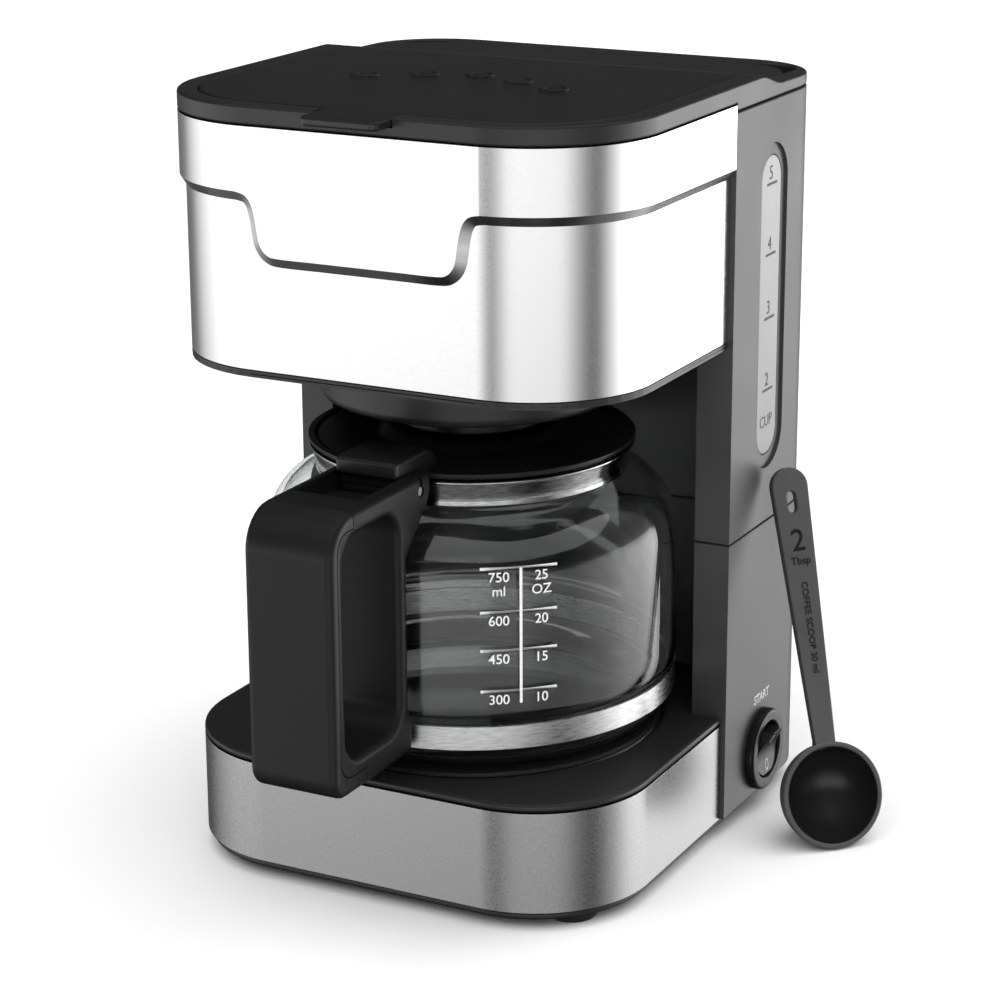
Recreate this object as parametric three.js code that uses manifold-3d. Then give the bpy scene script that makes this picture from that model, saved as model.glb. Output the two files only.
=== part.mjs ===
// Drip coffee maker: base with warming plate, rear column with water tank, brewing head, lift-up lid,
// glass carafe with a hinged lid, and a measuring scoop that leans on its right side.
// Millimetres, +Z up, front of the machine towards -Y. The table it stands on is z = 0.
import * as THREE from "three";
import { mergeVertices } from "three/addons/utils/BufferGeometryUtils.js";
import Module from "manifold-3d";

const wasm = await Module();
wasm.setup();

// ---------------------------------------------------------------- driving dimensions
const GAP = 0.3; // clearance between neighbouring pieces
const WALL = 2.5; // plastic wall
const SHEET = 1.0; // steel sheet

const HALF_WIDTH = 79.5;
const HALF_DEPTH = 88.8;
const FRONT_RADIUS = 40.8;
const REAR_RADIUS = 27.6;
const HEIGHT = 250;

const FOOT_HEIGHT = 3.2;
const COVER_BOTTOM = 3.5;
const BASE_BOTTOM = 6.2;
const BASE_STEEL_TOP = 39.4;
const TRAY_TOP = 42.3;
const STEEL_END_Y = 9; // both steel wraps end here, and the plastic column starts
const BASE_STEEL_INSET = 1.6;
const HEAD_STEEL_INSET = 1.9;

const BAY_HALF_WIDTH = 67.4;
const BAY_BACK_Y = 52;
const COLUMN_SEAM_Z = 101.6;
const COLUMN_TOP = 241.4;

const HEAD_BOTTOM = 166.5;
const HEAD_STEEL_BOTTOM = 168.8;
const HEAD_STEEL_TOP = 244;
const BAND_BOTTOM = 223.9;
const TAB_BOTTOM = 204.6;
const TAB_TOP_HALF = 41.5;
const TAB_BOTTOM_HALF = 30;

const COLLAR_WIDTH = 6.5;
const LID_THICKNESS = 3;
const DIP_START_Y = 28; // the top steps down towards the rear from here
const DIP_END_Y = 46;
const DIP = 3.8;
const REAR_DROP = 0.7;
const HINGE_Y = 78;
const KNUCKLE_RADIUS = 3;

const BREW_Y = -16.5; // axis of the carafe, the plate and the filter basket
const PLATE_RADIUS = 62;
const PLATE_TOP = 43;
const WELL_RADIUS = 48.5;
const WELL_BOTTOM = 150.5;
const VALVE_RADIUS = 24.4;
const VALVE_BOTTOM = 142;

const SWITCH_Y = 40;
const SWITCH_Z = 21;
const WINDOW_Y = 40.5;
const WINDOW_HALF = 8.4;
const WINDOW_Z = [132.4, 215.1]; // centres of the window's round ends

const GRIP_FRONT_Y = -131.5;
const HANDLE_HALF_WIDTH = 15;
const HANDLE_TOP = 140;
const HANDLE_BOTTOM = 52.5;
const LID_PIN = { y: -77.5, z: 134.8 };

const SCOOP_RADIUS = 17.5;
const SCOOP_CENTRE = new THREE.Vector3(113.5, 20.5, SCOOP_RADIUS);
const SCOOP_ALONG = new THREE.Vector3(-0.25, 0.19, 0.95).normalize();
const SCOOP_FACING = new THREE.Vector3(0.68, -0.66, 0.32);

// ---------------------------------------------------------------- finishes
const finish = (color, roughness, metalness = 0, opacity = 1) =>
  new THREE.MeshStandardMaterial({ color, roughness, metalness, opacity, transparent: opacity < 1 });
const BLACK = finish(0x242424, 0.45);
const SATIN_BLACK = finish(0x2b2b2b, 0.55);
const GREY = finish(0x4a4a4a, 0.55);
const STEEL = finish(0xc9c9c9, 0.28, 1);
const SPRING_STEEL = finish(0xa8a8a8, 0.35, 1);
const ALUMINIUM = finish(0xb4b4b4, 0.4, 1);
const PLATE_COATING = finish(0x161616, 0.6);
const GLASS = finish(0xdfe6e6, 0.05, 0, 0.3);
const CLEAR = finish(0xcfcfcf, 0.2, 0, 0.5);
const RUBBER = finish(0x1b1b1b, 0.9);
const SILICONE = finish(0xd8d4cc, 0.7, 0, 0.8);
const NYLON = finish(0xe2ded4, 0.6);
const MESH = finish(0x9a9a9a, 0.5, 0.6);

// ---------------------------------------------------------------- shaping helpers
function solid(geometry) {
  const bare = new THREE.BufferGeometry();
  bare.setAttribute("position", geometry.getAttribute("position"));
  if (geometry.index) bare.setIndex(geometry.index);
  const merged = mergeVertices(bare, 1e-4);
  return new wasm.Manifold(
    new wasm.Mesh({
      numProp: 3,
      vertProperties: new Float32Array(merged.attributes.position.array),
      triVerts: new Uint32Array(merged.index.array),
    }),
  );
}

const join = (...parts) => parts.reduce((all, part) => all.add(part));
const cut = (body, ...tools) => tools.reduce((rest, tool) => rest.subtract(tool), body);

// Prism of a shape drawn in X and Y, from z0 up to z1.
function prism(shape, z0, z1, segments = 6) {
  const geometry = new THREE.ExtrudeGeometry(shape, {
    depth: z1 - z0,
    bevelEnabled: false,
    curveSegments: segments,
  });
  return solid(geometry.translate(0, 0, z0));
}

// Prism of a shape drawn in Y and Z, from x0 to x1.
function prismX(shape, x0, x1, segments = 6) {
  const geometry = new THREE.ExtrudeGeometry(shape, {
    depth: x1 - x0,
    bevelEnabled: false,
    curveSegments: segments,
  });
  const turn = new THREE.Matrix4().set(0, 0, 1, x0, 1, 0, 0, 0, 0, 1, 0, 0, 0, 0, 0, 1);
  return solid(geometry.applyMatrix4(turn));
}

// Prism of a shape drawn in X and Z, from y0 to y1.
function prismY(shape, y0, y1, segments = 6) {
  const geometry = new THREE.ExtrudeGeometry(shape, {
    depth: y1 - y0,
    bevelEnabled: false,
    curveSegments: segments,
  });
  return solid(geometry.rotateX(Math.PI / 2).translate(0, y1, 0));
}

function box([x0, y0, z0], [x1, y1, z1]) {
  const geometry = new THREE.BoxGeometry(x1 - x0, y1 - y0, z1 - z0);
  return solid(geometry.translate((x0 + x1) / 2, (y0 + y1) / 2, (z0 + z1) / 2));
}

// Cylinder along an axis ("x", "y" or "z") with its middle at a point.
function rod(axis, radius, length, [x, y, z], segments = 16) {
  const geometry = new THREE.CylinderGeometry(radius, radius, length, segments);
  if (axis === "x") geometry.rotateZ(Math.PI / 2);
  if (axis === "z") geometry.rotateX(Math.PI / 2);
  return solid(geometry.translate(x, y, z));
}

// Turned piece: profile of [radius, height] pairs, going up its outside, about a vertical axis.
function turned(profile, [x, y] = [0, BREW_Y], segments = 32) {
  const points = profile.map(([r, z]) => new THREE.Vector2(r, z));
  const geometry = new THREE.LatheGeometry(points, segments);
  return solid(geometry.rotateX(Math.PI / 2).translate(x, y, 0));
}

function ring(inner, outer, z0, z1, centre = [0, BREW_Y], segments = 32) {
  const profile = [[inner, z0], [outer, z0], [outer, z1], [inner, z1], [inner, z0]];
  return turned(profile, centre, segments);
}

// Round bar bent along a smooth curve through points.
function bar(points, radius, steps, sides = 8) {
  const curve = Array.isArray(points)
    ? new THREE.CatmullRomCurve3(points.map((p) => new THREE.Vector3(...p)), false, "centripetal")
    : points;
  const section = new THREE.Shape().absarc(0, 0, radius, 0, 2 * Math.PI);
  return solid(
    new THREE.ExtrudeGeometry(section, { steps, extrudePath: curve, curveSegments: sides / 2 }),
  );
}

// Outline of the whole machine seen from above, moved inwards by an inset.
function outline(inset = 0) {
  const x = HALF_WIDTH - inset;
  const y = HALF_DEPTH - inset;
  const front = FRONT_RADIUS - inset;
  const rear = REAR_RADIUS - inset;
  const shape = new THREE.Shape();
  shape.absarc(x - front, front - y, front, -Math.PI / 2, 0);
  shape.absarc(x - rear, y - rear, rear, 0, Math.PI / 2);
  shape.absarc(rear - x, y - rear, rear, Math.PI / 2, Math.PI);
  shape.absarc(front - x, front - y, front, Math.PI, 1.5 * Math.PI);
  shape.closePath();
  return shape;
}

const body = (inset, z0, z1) => prism(outline(inset), z0, z1);
const FAR = 200;
const before = (y) => box([-FAR, -FAR, -FAR], [FAR, y, 2 * FAR]);
const behind = (y) => box([-FAR, y, -FAR], [FAR, FAR, 2 * FAR]);

// Wall of the outline between two insets and two heights.
const wall = (outer, inner, z0, z1) => cut(body(outer, z0, z1), body(inner, z0 - 1, z1 + 1));

function polygon(points) {
  return new THREE.Shape(points.map(([a, b]) => new THREE.Vector2(a, b)));
}

// Slot with round ends along its second axis.
function obround(centre, [low, high], radius) {
  const shape = new THREE.Shape();
  shape.absarc(centre, high, radius, 0, Math.PI);
  shape.absarc(centre, low, radius, Math.PI, 2 * Math.PI);
  shape.closePath();
  return shape;
}

function roundedBox(x0, x1, y0, y1, r) {
  const shape = new THREE.Shape();
  shape.absarc(x1 - r, y0 + r, r, -Math.PI / 2, 0);
  shape.absarc(x1 - r, y1 - r, r, 0, Math.PI / 2);
  shape.absarc(x0 + r, y1 - r, r, Math.PI / 2, Math.PI);
  shape.absarc(x0 + r, y0 + r, r, Math.PI, 1.5 * Math.PI);
  shape.closePath();
  return shape;
}

// ---------------------------------------------------------------- the model
const group = new THREE.Group();
const FRONT_REACH = GRIP_FRONT_Y; // the grip is the foremost piece
const scoopAcross = new THREE.Vector3().crossVectors(SCOOP_ALONG, SCOOP_FACING).normalize();
const scoopNormal = new THREE.Vector3().crossVectors(scoopAcross, SCOOP_ALONG).normalize();
const SCOOP_REACH_X = SCOOP_CENTRE.x + SCOOP_RADIUS * Math.sqrt(1 - scoopNormal.x ** 2);
group.position.set((HALF_WIDTH - SCOOP_REACH_X) / 2, -(FRONT_REACH + HALF_DEPTH) / 2, 0);

function add(name, shape, material) {
  const { vertProperties, triVerts } = shape.getMesh();
  const geometry = new THREE.BufferGeometry();
  geometry.setAttribute("position", new THREE.BufferAttribute(vertProperties, 3));
  geometry.setIndex(new THREE.BufferAttribute(triVerts, 1));
  geometry.computeVertexNormals();
  const mesh = new THREE.Mesh(geometry, material);
  mesh.name = name;
  group.add(mesh);
}

// ---------------------------------------------------------------- base
const FOOT_PLACES = {
  front_left: [-60, -65],
  front_right: [60, -65],
  rear_left: [-58, 70],
  rear_right: [58, 70],
};
const SCREW_PLACES = [[-45, -62], [45, -62], [-50, 44], [50, 44]];
const SCREW_RADIUS = 1.5;
const SCREW_BORE = 1.8;
const SCREW_TIP = 13;

for (const [place, at] of Object.entries(FOOT_PLACES)) {
  const profile = [[0, 0], [7.6, 0], [8.6, 0.8], [9, FOOT_HEIGHT], [0, FOOT_HEIGHT]];
  add(`foot_${place}`, turned(profile, at, 24), RUBBER);
}

function makeBottomCover() {
  const bores = SCREW_PLACES.map(([x, y]) => rod("z", SCREW_BORE, 10, [x, y, COVER_BOTTOM], 12));
  return cut(body(3, COVER_BOTTOM, BASE_BOTTOM - GAP), ...bores);
}
add("bottom_cover", makeBottomCover(), BLACK);

SCREW_PLACES.forEach(([x, y], i) => {
  const head = COVER_BOTTOM - GAP;
  const button = [[0, 1.4], [2.6, 1.4], [3.2, 2.2], [3.2, head]];
  const profile = [...button, [SCREW_RADIUS, head], [SCREW_RADIUS, SCREW_TIP], [0, SCREW_TIP]];
  add(`base_screw_${i + 1}`, turned(profile, [x, y], 12), SPRING_STEEL);
});

function makeSteelWrap(inset, z0, z1) {
  return wall(inset, inset + SHEET, z0, z1).intersect(before(STEEL_END_Y));
}
add("base_steel_band", makeSteelWrap(BASE_STEEL_INSET, BASE_BOTTOM, BASE_STEEL_TOP), STEEL);

const PLATE_SEAT = 40;
const TRAY_INSET = BASE_STEEL_INSET + SHEET + GAP;
const TRAY_CEILING = 37; // underside of the tray's top
const ELEMENT_HOLE = 54; // radius of the hole that the heating element hangs through
const DUCT = { half: 58, top: 34 }; // opening between base and column, for the hoses

// Block that fills the space between the column's wings, with its sides moved in by an inset.
function bayBlock(inset, z0, z1) {
  const half = BAY_HALF_WIDTH - GAP - inset;
  return box([-half, 0, z0], [half, BAY_BACK_Y - GAP - inset, z1]);
}

function makeBaseTray() {
  const skirt = join(
    body(TRAY_INSET, BASE_BOTTOM, TRAY_TOP).intersect(before(STEEL_END_Y - GAP)),
    bayBlock(0, BASE_BOTTOM, TRAY_TOP),
  );
  const hollow = join(
    body(TRAY_INSET + WALL, 0, TRAY_CEILING).intersect(before(STEEL_END_Y - GAP - WALL)),
    bayBlock(WALL, 0, TRAY_CEILING),
  );
  const lip = wall(BASE_STEEL_INSET, TRAY_INSET + WALL, BASE_STEEL_TOP + GAP, TRAY_TOP);
  const rise = TRAY_CEILING + 1 - BASE_BOTTOM;
  const bosses = SCREW_PLACES.map(([x, y]) => rod("z", 4, rise, [x, y, BASE_BOTTOM + rise / 2], 16));
  const bores = SCREW_PLACES.map(([x, y]) => rod("z", SCREW_BORE, 24, [x, y, 4], 12));
  const shell = join(cut(skirt, hollow), lip.intersect(before(STEEL_END_Y - GAP)), ...bosses);
  return cut(
    shell,
    ...bores,
    rod("z", PLATE_RADIUS + 1, 20, [0, BREW_Y, PLATE_SEAT + 10], 48),
    rod("z", ELEMENT_HOLE, 40, [0, BREW_Y, PLATE_SEAT], 40),
    box([-DUCT.half, BAY_BACK_Y - GAP - 2 * WALL, 0], [DUCT.half, BAY_BACK_Y + 1, DUCT.top]),
  );
}
add("base_tray", makeBaseTray(), BLACK);

add("plate_seal", ring(ELEMENT_HOLE + 1, PLATE_RADIUS - 1, PLATE_SEAT + GAP, PLATE_SEAT + 1), SILICONE);

function makeWarmingPlate() {
  const under = PLATE_SEAT + 1 + GAP;
  const dish = PLATE_TOP - 0.6;
  const rim = [[PLATE_RADIUS - 1, under], [PLATE_RADIUS, 42], [PLATE_RADIUS - 0.8, PLATE_TOP]];
  return turned([[0, under], ...rim, [54, PLATE_TOP], [52, dish], [0, dish]], [0, BREW_Y], 48);
}
add("warming_plate", makeWarmingPlate(), PLATE_COATING);

// The heating element is a horseshoe of flattened bar whose ends point to the rear.
class Horseshoe extends THREE.Curve {
  getPoint(t) {
    const angle = THREE.MathUtils.degToRad(-240 + 300 * t);
    return new THREE.Vector3(38 * Math.cos(angle), BREW_Y + 38 * Math.sin(angle), 34.5);
  }
}
add("heating_element", bar(new Horseshoe(), 5, 24), ALUMINIUM);
add("element_bracket", box([-8, BREW_Y - 50, 36.6], [8, BREW_Y - 43.5, 40]), SPRING_STEEL);
add("thermostat", rod("z", 7, 6, [0, BREW_Y, 37.8], 24), ALUMINIUM);
add("thermal_fuse", rod("x", 2.2, 18, [0, BREW_Y + 18, 38.4], 12), SPRING_STEEL);

// ---------------------------------------------------------------- rear column
// The column is U-shaped: a back box and two wings that flank the carafe bay.
function columnBlock(inset, z0, z1) {
  const side = BAY_HALF_WIDTH + inset;
  const bay = box([-side, -FAR, z0 - 1], [side, BAY_BACK_Y + inset, z1 + 1]);
  return cut(body(inset, z0, z1).intersect(behind(STEEL_END_Y + GAP + inset)), bay);
}

const columnShell = (z0, z1) => cut(columnBlock(0, z0, z1), columnBlock(WALL, z0 - 1, z1 + 1));
const SWITCH_HOLE = 11.6;
const GLAND = { x: -36, z: 18 };

function makeLowerColumn() {
  return cut(
    columnShell(BASE_BOTTOM, COLUMN_SEAM_Z - GAP),
    rod("x", SWITCH_HOLE, 10, [HALF_WIDTH, SWITCH_Y, SWITCH_Z], 32),
    rod("y", 5, 12, [GLAND.x, HALF_DEPTH, GLAND.z], 20),
    box([-DUCT.half, BAY_BACK_Y - 1, 0], [DUCT.half, BAY_BACK_Y + WALL + 1, DUCT.top]),
  );
}
add("lower_column", makeLowerColumn(), SATIN_BLACK);

const RECESS_DEPTH = 1;
const TUBE_PASSAGE = { left: -66, right: -52, bottom: 234 };

function makeUpperColumn() {
  const opening = obround(WINDOW_Y, WINDOW_Z, WINDOW_HALF);
  const recess = obround(WINDOW_Y - 1, WINDOW_Z, WINDOW_HALF + 4);
  const { left, right, bottom } = TUBE_PASSAGE;
  return cut(
    columnShell(COLUMN_SEAM_Z, COLUMN_TOP),
    prismX(opening, HALF_WIDTH - 2 * WALL, HALF_WIDTH + 1),
    prismX(recess, HALF_WIDTH - RECESS_DEPTH, HALF_WIDTH + 1),
    box([left, BAY_BACK_Y - 1, bottom], [right, BAY_BACK_Y + 4, HEIGHT]),
  );
}
add("upper_column", makeUpperColumn(), SATIN_BLACK);

const PANE_FACE = HALF_WIDTH - RECESS_DEPTH - 0.2;
const pane = obround(WINDOW_Y, WINDOW_Z, WINDOW_HALF - GAP);
add("gauge_window", prismX(pane, PANE_FACE - 1.3, PANE_FACE), CLEAR);

const TANK = { left: -56, right: 76.4, front: 55, back: 86, bottom: 62, lobeBottom: 112, top: 238 };
const HOSE = { x: 30, y: 70 };

function makeWaterTank() {
  const { left, right, front, back, bottom, lobeBottom, top } = TANK;
  const lobe = (inset) => roundedBox(70.2 + inset, right - inset, 22 + inset, 62 - inset, 2.5 - inset);
  const main = (inset) => roundedBox(left + inset, right - inset, front + inset, back - inset, 2.5 - inset);
  const block = (inset, rise) =>
    join(
      prism(main(inset), bottom + inset, top + rise, 3),
      prism(lobe(inset), lobeBottom + inset, top + rise, 3),
    ).intersect(body(WALL + GAP + inset, 0, FAR * 2));
  return cut(block(0, 0), block(1.5, 1), rod("z", 4, 10, [HOSE.x, HOSE.y, bottom], 16));
}
add("water_tank", makeWaterTank(), CLEAR);

function makeCheckValve() {
  const top = TANK.bottom - GAP;
  return turned([[0, 46], [4.5, 46], [4.5, 58], [8, 58], [8, top], [0, top]], [HOSE.x, HOSE.y], 20);
}
add("check_valve", makeCheckValve(), NYLON);

const inletRoute = [
  [HOSE.x, HOSE.y, 45.6],
  [HOSE.x, HOSE.y, 36],
  [29, 64, 26],
  [26, 52, 23],
  [21, 28, 26],
  [19.5, 23, 31],
];
add("inlet_hose", bar(inletRoute, 4, 16), SILICONE);

const RISER = { x: -68.5, y: 66 };
const riserRoute = [
  [-19.5, 23, 31],
  [-22, 30, 26],
  [-34, 54, 22],
  [-58, 64, 25],
  [RISER.x, RISER.y, 42],
  [RISER.x, RISER.y, 120],
  [RISER.x, RISER.y, 222],
  [-66.5, 63, 234],
  [-63.6, 58.6, 239],
];
add("riser_tube", bar(riserRoute, 3.6, 30), SILICONE);

function makeCordGland() {
  const inner = HALF_DEPTH - WALL - GAP;
  return cut(
    join(
      rod("y", 7.5, 3, [GLAND.x, inner - 1.5, GLAND.z], 20),
      rod("y", 4.7, WALL + GAP + 1, [GLAND.x, HALF_DEPTH - (WALL + GAP + 1) / 2, GLAND.z], 20),
    ),
    rod("y", 3, 20, [GLAND.x, HALF_DEPTH, GLAND.z], 16),
  );
}
add("cord_gland", makeCordGland(), RUBBER);

// ---------------------------------------------------------------- power switch
const SWITCH_FACE = HALF_WIDTH + GAP;
const ROCKER_TILT = THREE.MathUtils.degToRad(12);

function makeSwitchBezel() {
  const flange = rod("x", 14, 2.8, [SWITCH_FACE + 1.4, SWITCH_Y, SWITCH_Z], 32);
  const neck = rod("x", 11.3, 5, [SWITCH_FACE - 2, SWITCH_Y, SWITCH_Z], 32);
  return cut(join(flange, neck), rod("x", 9.6, 30, [SWITCH_FACE, SWITCH_Y, SWITCH_Z], 32));
}
add("switch_bezel", makeSwitchBezel(), BLACK);
add("switch_body", rod("x", 11, 4.6, [72.6, SWITCH_Y, SWITCH_Z], 24), BLACK);

// The rocker is a paddle with two flat faces in a shallow V, tilted so that its top stands out.
// It is trimmed to the bezel's hole in both of its positions.
function makeRocker() {
  const side = [[-3, -7], [3.2, -8.4], [1.2, 0], [3.2, 8.4], [-3, 7]];
  const tilt = THREE.MathUtils.radToDeg(ROCKER_TILT);
  const hole = rod("x", 9.2, 40, [0, 0, 0], 32);
  return prismY(polygon(side), -6.2, 6.2)
    .intersect(hole.rotate([0, tilt, 0]))
    .intersect(hole.rotate([0, -tilt, 0]))
    .rotate([0, tilt, 0])
    .translate([SWITCH_FACE, SWITCH_Y, SWITCH_Z]);
}
add("switch_rocker", makeRocker(), BLACK);

// ---------------------------------------------------------------- brewing head
add("head_steel_wrap", makeSteelWrap(HEAD_STEEL_INSET, HEAD_STEEL_BOTTOM, HEAD_STEEL_TOP - GAP), STEEL);

// Raised band round the top of the head; its front drops to a wide tab with curved shoulders.
function makeRaisedBand() {
  const band = wall(0, 1.2, BAND_BOTTOM, HEAD_STEEL_TOP - GAP).intersect(before(STEEL_END_Y));
  const shoulder = { out: TAB_TOP_HALF - 9, high: BAND_BOTTOM - 1, in: TAB_BOTTOM_HALF + 6 };
  const top = BAND_BOTTOM + 1;
  const tab = new THREE.Shape();
  tab.moveTo(-TAB_TOP_HALF, top);
  tab.bezierCurveTo(-shoulder.out, shoulder.high, -shoulder.in, TAB_BOTTOM, -TAB_BOTTOM_HALF, TAB_BOTTOM);
  tab.lineTo(TAB_BOTTOM_HALF, TAB_BOTTOM);
  tab.bezierCurveTo(shoulder.in, TAB_BOTTOM, shoulder.out, shoulder.high, TAB_TOP_HALF, top);
  tab.closePath();
  const front = wall(0, 1.2, TAB_BOTTOM - 1, BAND_BOTTOM + 2);
  return join(band, prismY(tab, -HALF_DEPTH - 1, -HALF_DEPTH + 8).intersect(front));
}
add("raised_steel_band", makeRaisedBand(), STEEL);

const FRAME_INSET = HEAD_STEEL_INSET + SHEET + GAP;
const FRAME_WALL = 2;

function makeHeadFrame() {
  const top = HEAD_STEEL_TOP - GAP;
  const floor = HEAD_BOTTOM + WALL;
  const side = FRAME_INSET + FRAME_WALL;
  const block = join(
    body(FRAME_INSET, HEAD_BOTTOM, top).intersect(before(STEEL_END_Y - GAP)),
    bayBlock(0, HEAD_BOTTOM, top - 3),
  );
  const room = join(
    body(side, floor, FAR * 2).intersect(before(STEEL_END_Y - GAP - FRAME_WALL)),
    bayBlock(FRAME_WALL, floor, FAR * 2),
  );
  const rim = wall(HEAD_STEEL_INSET, side, HEAD_BOTTOM, HEAD_STEEL_BOTTOM - GAP);
  const { left, right, bottom } = TUBE_PASSAGE;
  const passage = box([left + 1.5, BAY_BACK_Y - 2 * FRAME_WALL, bottom], [right, FAR, HEIGHT]);
  return cut(
    join(cut(block, room), rim.intersect(before(STEEL_END_Y - GAP))),
    rod("z", WELL_RADIUS + GAP, 20, [0, BREW_Y, HEAD_BOTTOM], 40),
    passage,
  );
}
add("head_frame", makeHeadFrame(), BLACK);

const wellSeat = HEAD_BOTTOM + WALL + GAP;
const wellHole = VALVE_RADIUS + 1.2;
const wellProfile = [
  [wellHole, WELL_BOTTOM],
  [WELL_RADIUS - 3, WELL_BOTTOM],
  [WELL_RADIUS, WELL_BOTTOM + 3],
  [WELL_RADIUS, wellSeat],
  [54, wellSeat],
  [54, wellSeat + 2],
  [WELL_RADIUS - 2, wellSeat + 2],
  [WELL_RADIUS - 2, WELL_BOTTOM + 3.6],
  [WELL_RADIUS - 4, WELL_BOTTOM + 2],
  [wellHole, WELL_BOTTOM + 2],
  [wellHole, WELL_BOTTOM],
];
add("brew_well", turned(wellProfile), BLACK);

// Filter basket: a cone with a flat floor, hung by its rim, with the valve's stem hole in the floor.
const basketOutside = [[5, 160], [34, 160], [45.6, 230], [51, 230]];
const basketInside = [[51, 232], [44, 232], [32.6, 162], [5, 162], [5, 160]];
const seatPosts = [0, 1, 2].map((i) => {
  const angle = (i * 2 * Math.PI) / 3 - Math.PI / 2;
  return rod("z", 3, 59.2, [51.5 * Math.cos(angle), BREW_Y + 51.5 * Math.sin(angle), 201.4], 10);
});
add("filter_basket", join(turned([...basketOutside, ...basketInside]), ...seatPosts), BLACK);

const meshOutside = [[0, 172], [30, 172], [42.8, 233], [47, 233]];
const meshInside = [[47, 234.5], [41.8, 234.5], [29, 173.5], [0, 173.5]];
add("mesh_filter", turned([...meshOutside, ...meshInside]), MESH);

function makeSprayArm() {
  const rose = [[0, 236.2], [13, 236.2], [15, 238], [15, 240], [6, 241.5], [0, 241.5]];
  const head = turned(rose, [0, BREW_Y], 32);
  const z = 239.3;
  const route = [[0, BREW_Y, z], [-22, 2, z], [-46, 28, z], [-58, 44, z], [-61.4, 54.2, z - 0.1]];
  return join(head, bar(route, 3.2, 12));
}
add("spray_arm", makeSprayArm(), BLACK);

// Drip valve: a cup that the carafe lid pushes up, with a stem through the basket's floor.
const valveProfile = [
  [0, VALVE_BOTTOM + 2.2],
  [VALVE_RADIUS - 3, VALVE_BOTTOM + 2.2],
  [VALVE_RADIUS - 2, VALVE_BOTTOM],
  [VALVE_RADIUS, VALVE_BOTTOM],
  [VALVE_RADIUS, 149.5],
  [4, 149.5],
  [3, 151],
  [3, 163.4],
  [0, 163.4],
];
add("drip_valve", turned(valveProfile, [0, BREW_Y], 32), SATIN_BLACK);

class Coil extends THREE.Curve {
  getPoint(t) {
    const angle = 5 * 2 * Math.PI * t;
    return new THREE.Vector3(7 * Math.cos(angle), BREW_Y + 7 * Math.sin(angle), 150.7 + 8.4 * t);
  }
}
add("valve_spring", bar(new Coil(), 0.5, 50, 6), SPRING_STEEL);

// ---------------------------------------------------------------- top collar and lid
// Height of the top surface: level in front, stepping down behind DIP_START_Y.
function topHeight(y) {
  const t = THREE.MathUtils.clamp((y - DIP_START_Y) / (DIP_END_Y - DIP_START_Y), 0, 1);
  const tail = Math.max(0, (y - DIP_END_Y) / (HALF_DEPTH - DIP_END_Y));
  return HEIGHT - DIP * t * t * (3 - 2 * t) - REAR_DROP * tail;
}

// Everything between two depths under the top surface.
function topLayer(depth, bottom) {
  const steps = Array.from({ length: 7 }, (_, i) => DIP_START_Y + ((DIP_END_Y - DIP_START_Y) * i) / 6);
  const ys = [-FAR, ...steps, FAR];
  const upper = ys.map((y) => [y, topHeight(y) - depth]);
  const lower = ys.map((y) => [y, topHeight(y) - bottom]);
  return prismX(polygon([...lower, ...upper.reverse()]), -FAR, FAR);
}

const HINGE_Z = topHeight(HINGE_Y) - KNUCKLE_RADIUS;
const KNUCKLES = [-34, 34];
const KNUCKLE_LENGTH = 12;
const LID_TAB = { half: 13, front: -98, thickness: 2.8 };
const COLLAR_REAR_Y = HINGE_Y + KNUCKLE_RADIUS + 2 * GAP;
const LID_REAR = { half: 64, start: 64 }; // the lid's rear end is straight so that it can swing up

function makeCollar() {
  const ringBlock = cut(body(0, COLUMN_TOP + GAP, HEIGHT), body(COLLAR_WIDTH + 3, 0, HEIGHT + 1));
  const rearBar = body(0, COLUMN_TOP + GAP, HEIGHT).intersect(behind(COLLAR_REAR_Y));
  const steelRoom = box([-FAR, -FAR, 0], [FAR, STEEL_END_Y + GAP, HEAD_STEEL_TOP]);
  const rearRoom = box([-LID_REAR.half - 2, 60, 0], [LID_REAR.half + 2, COLLAR_REAR_Y, 2 * FAR]);
  const lidRoom = cut(
    join(prism(outline(COLLAR_WIDTH), 0, 2 * FAR), rearRoom),
    topLayer(LID_THICKNESS + GAP, HEIGHT),
    behind(COLLAR_REAR_Y),
  );
  const tabHalf = LID_TAB.half + GAP;
  const notch = box([-tabHalf, -FAR, HEIGHT - LID_TAB.thickness - GAP], [tabHalf, -70, FAR * 2]);
  const knuckleRooms = KNUCKLES.map((x) => box([x - 7, HINGE_Y - 4, 0], [x + 7, COLLAR_REAR_Y, 2 * FAR]));
  const bosses = KNUCKLES.flatMap((x) =>
    [-1, 1].map((side) => {
      const at = x + side * (KNUCKLE_LENGTH / 2 + GAP + 2.5);
      return join(
        rod("x", 2.6, 5, [at, HINGE_Y, HINGE_Z], 16),
        box([at - 2.5, HINGE_Y, HINGE_Z - 2.2], [at + 2.5, COLLAR_REAR_Y + 1, HINGE_Z]),
      );
    }),
  );
  const blank = join(ringBlock, rearBar).intersect(topLayer(0, FAR));
  const clear = cut(blank, steelRoom, lidRoom, notch, ...knuckleRooms);
  return cut(join(clear, ...bosses), ...KNUCKLES.map((x) => rod("x", 1.3, 40, [x, HINGE_Y, HINGE_Z], 12)));
}
add("top_collar", makeCollar(), BLACK);

KNUCKLES.forEach((x, i) => {
  add(`lid_hinge_pin_${i + 1}`, rod("x", 1, 22, [x, HINGE_Y, HINGE_Z], 12), SPRING_STEEL);
});

const VENTS = [[-33, -24], [-16.5, -15], [0, -9], [16.5, -15], [33, -24]];

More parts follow.
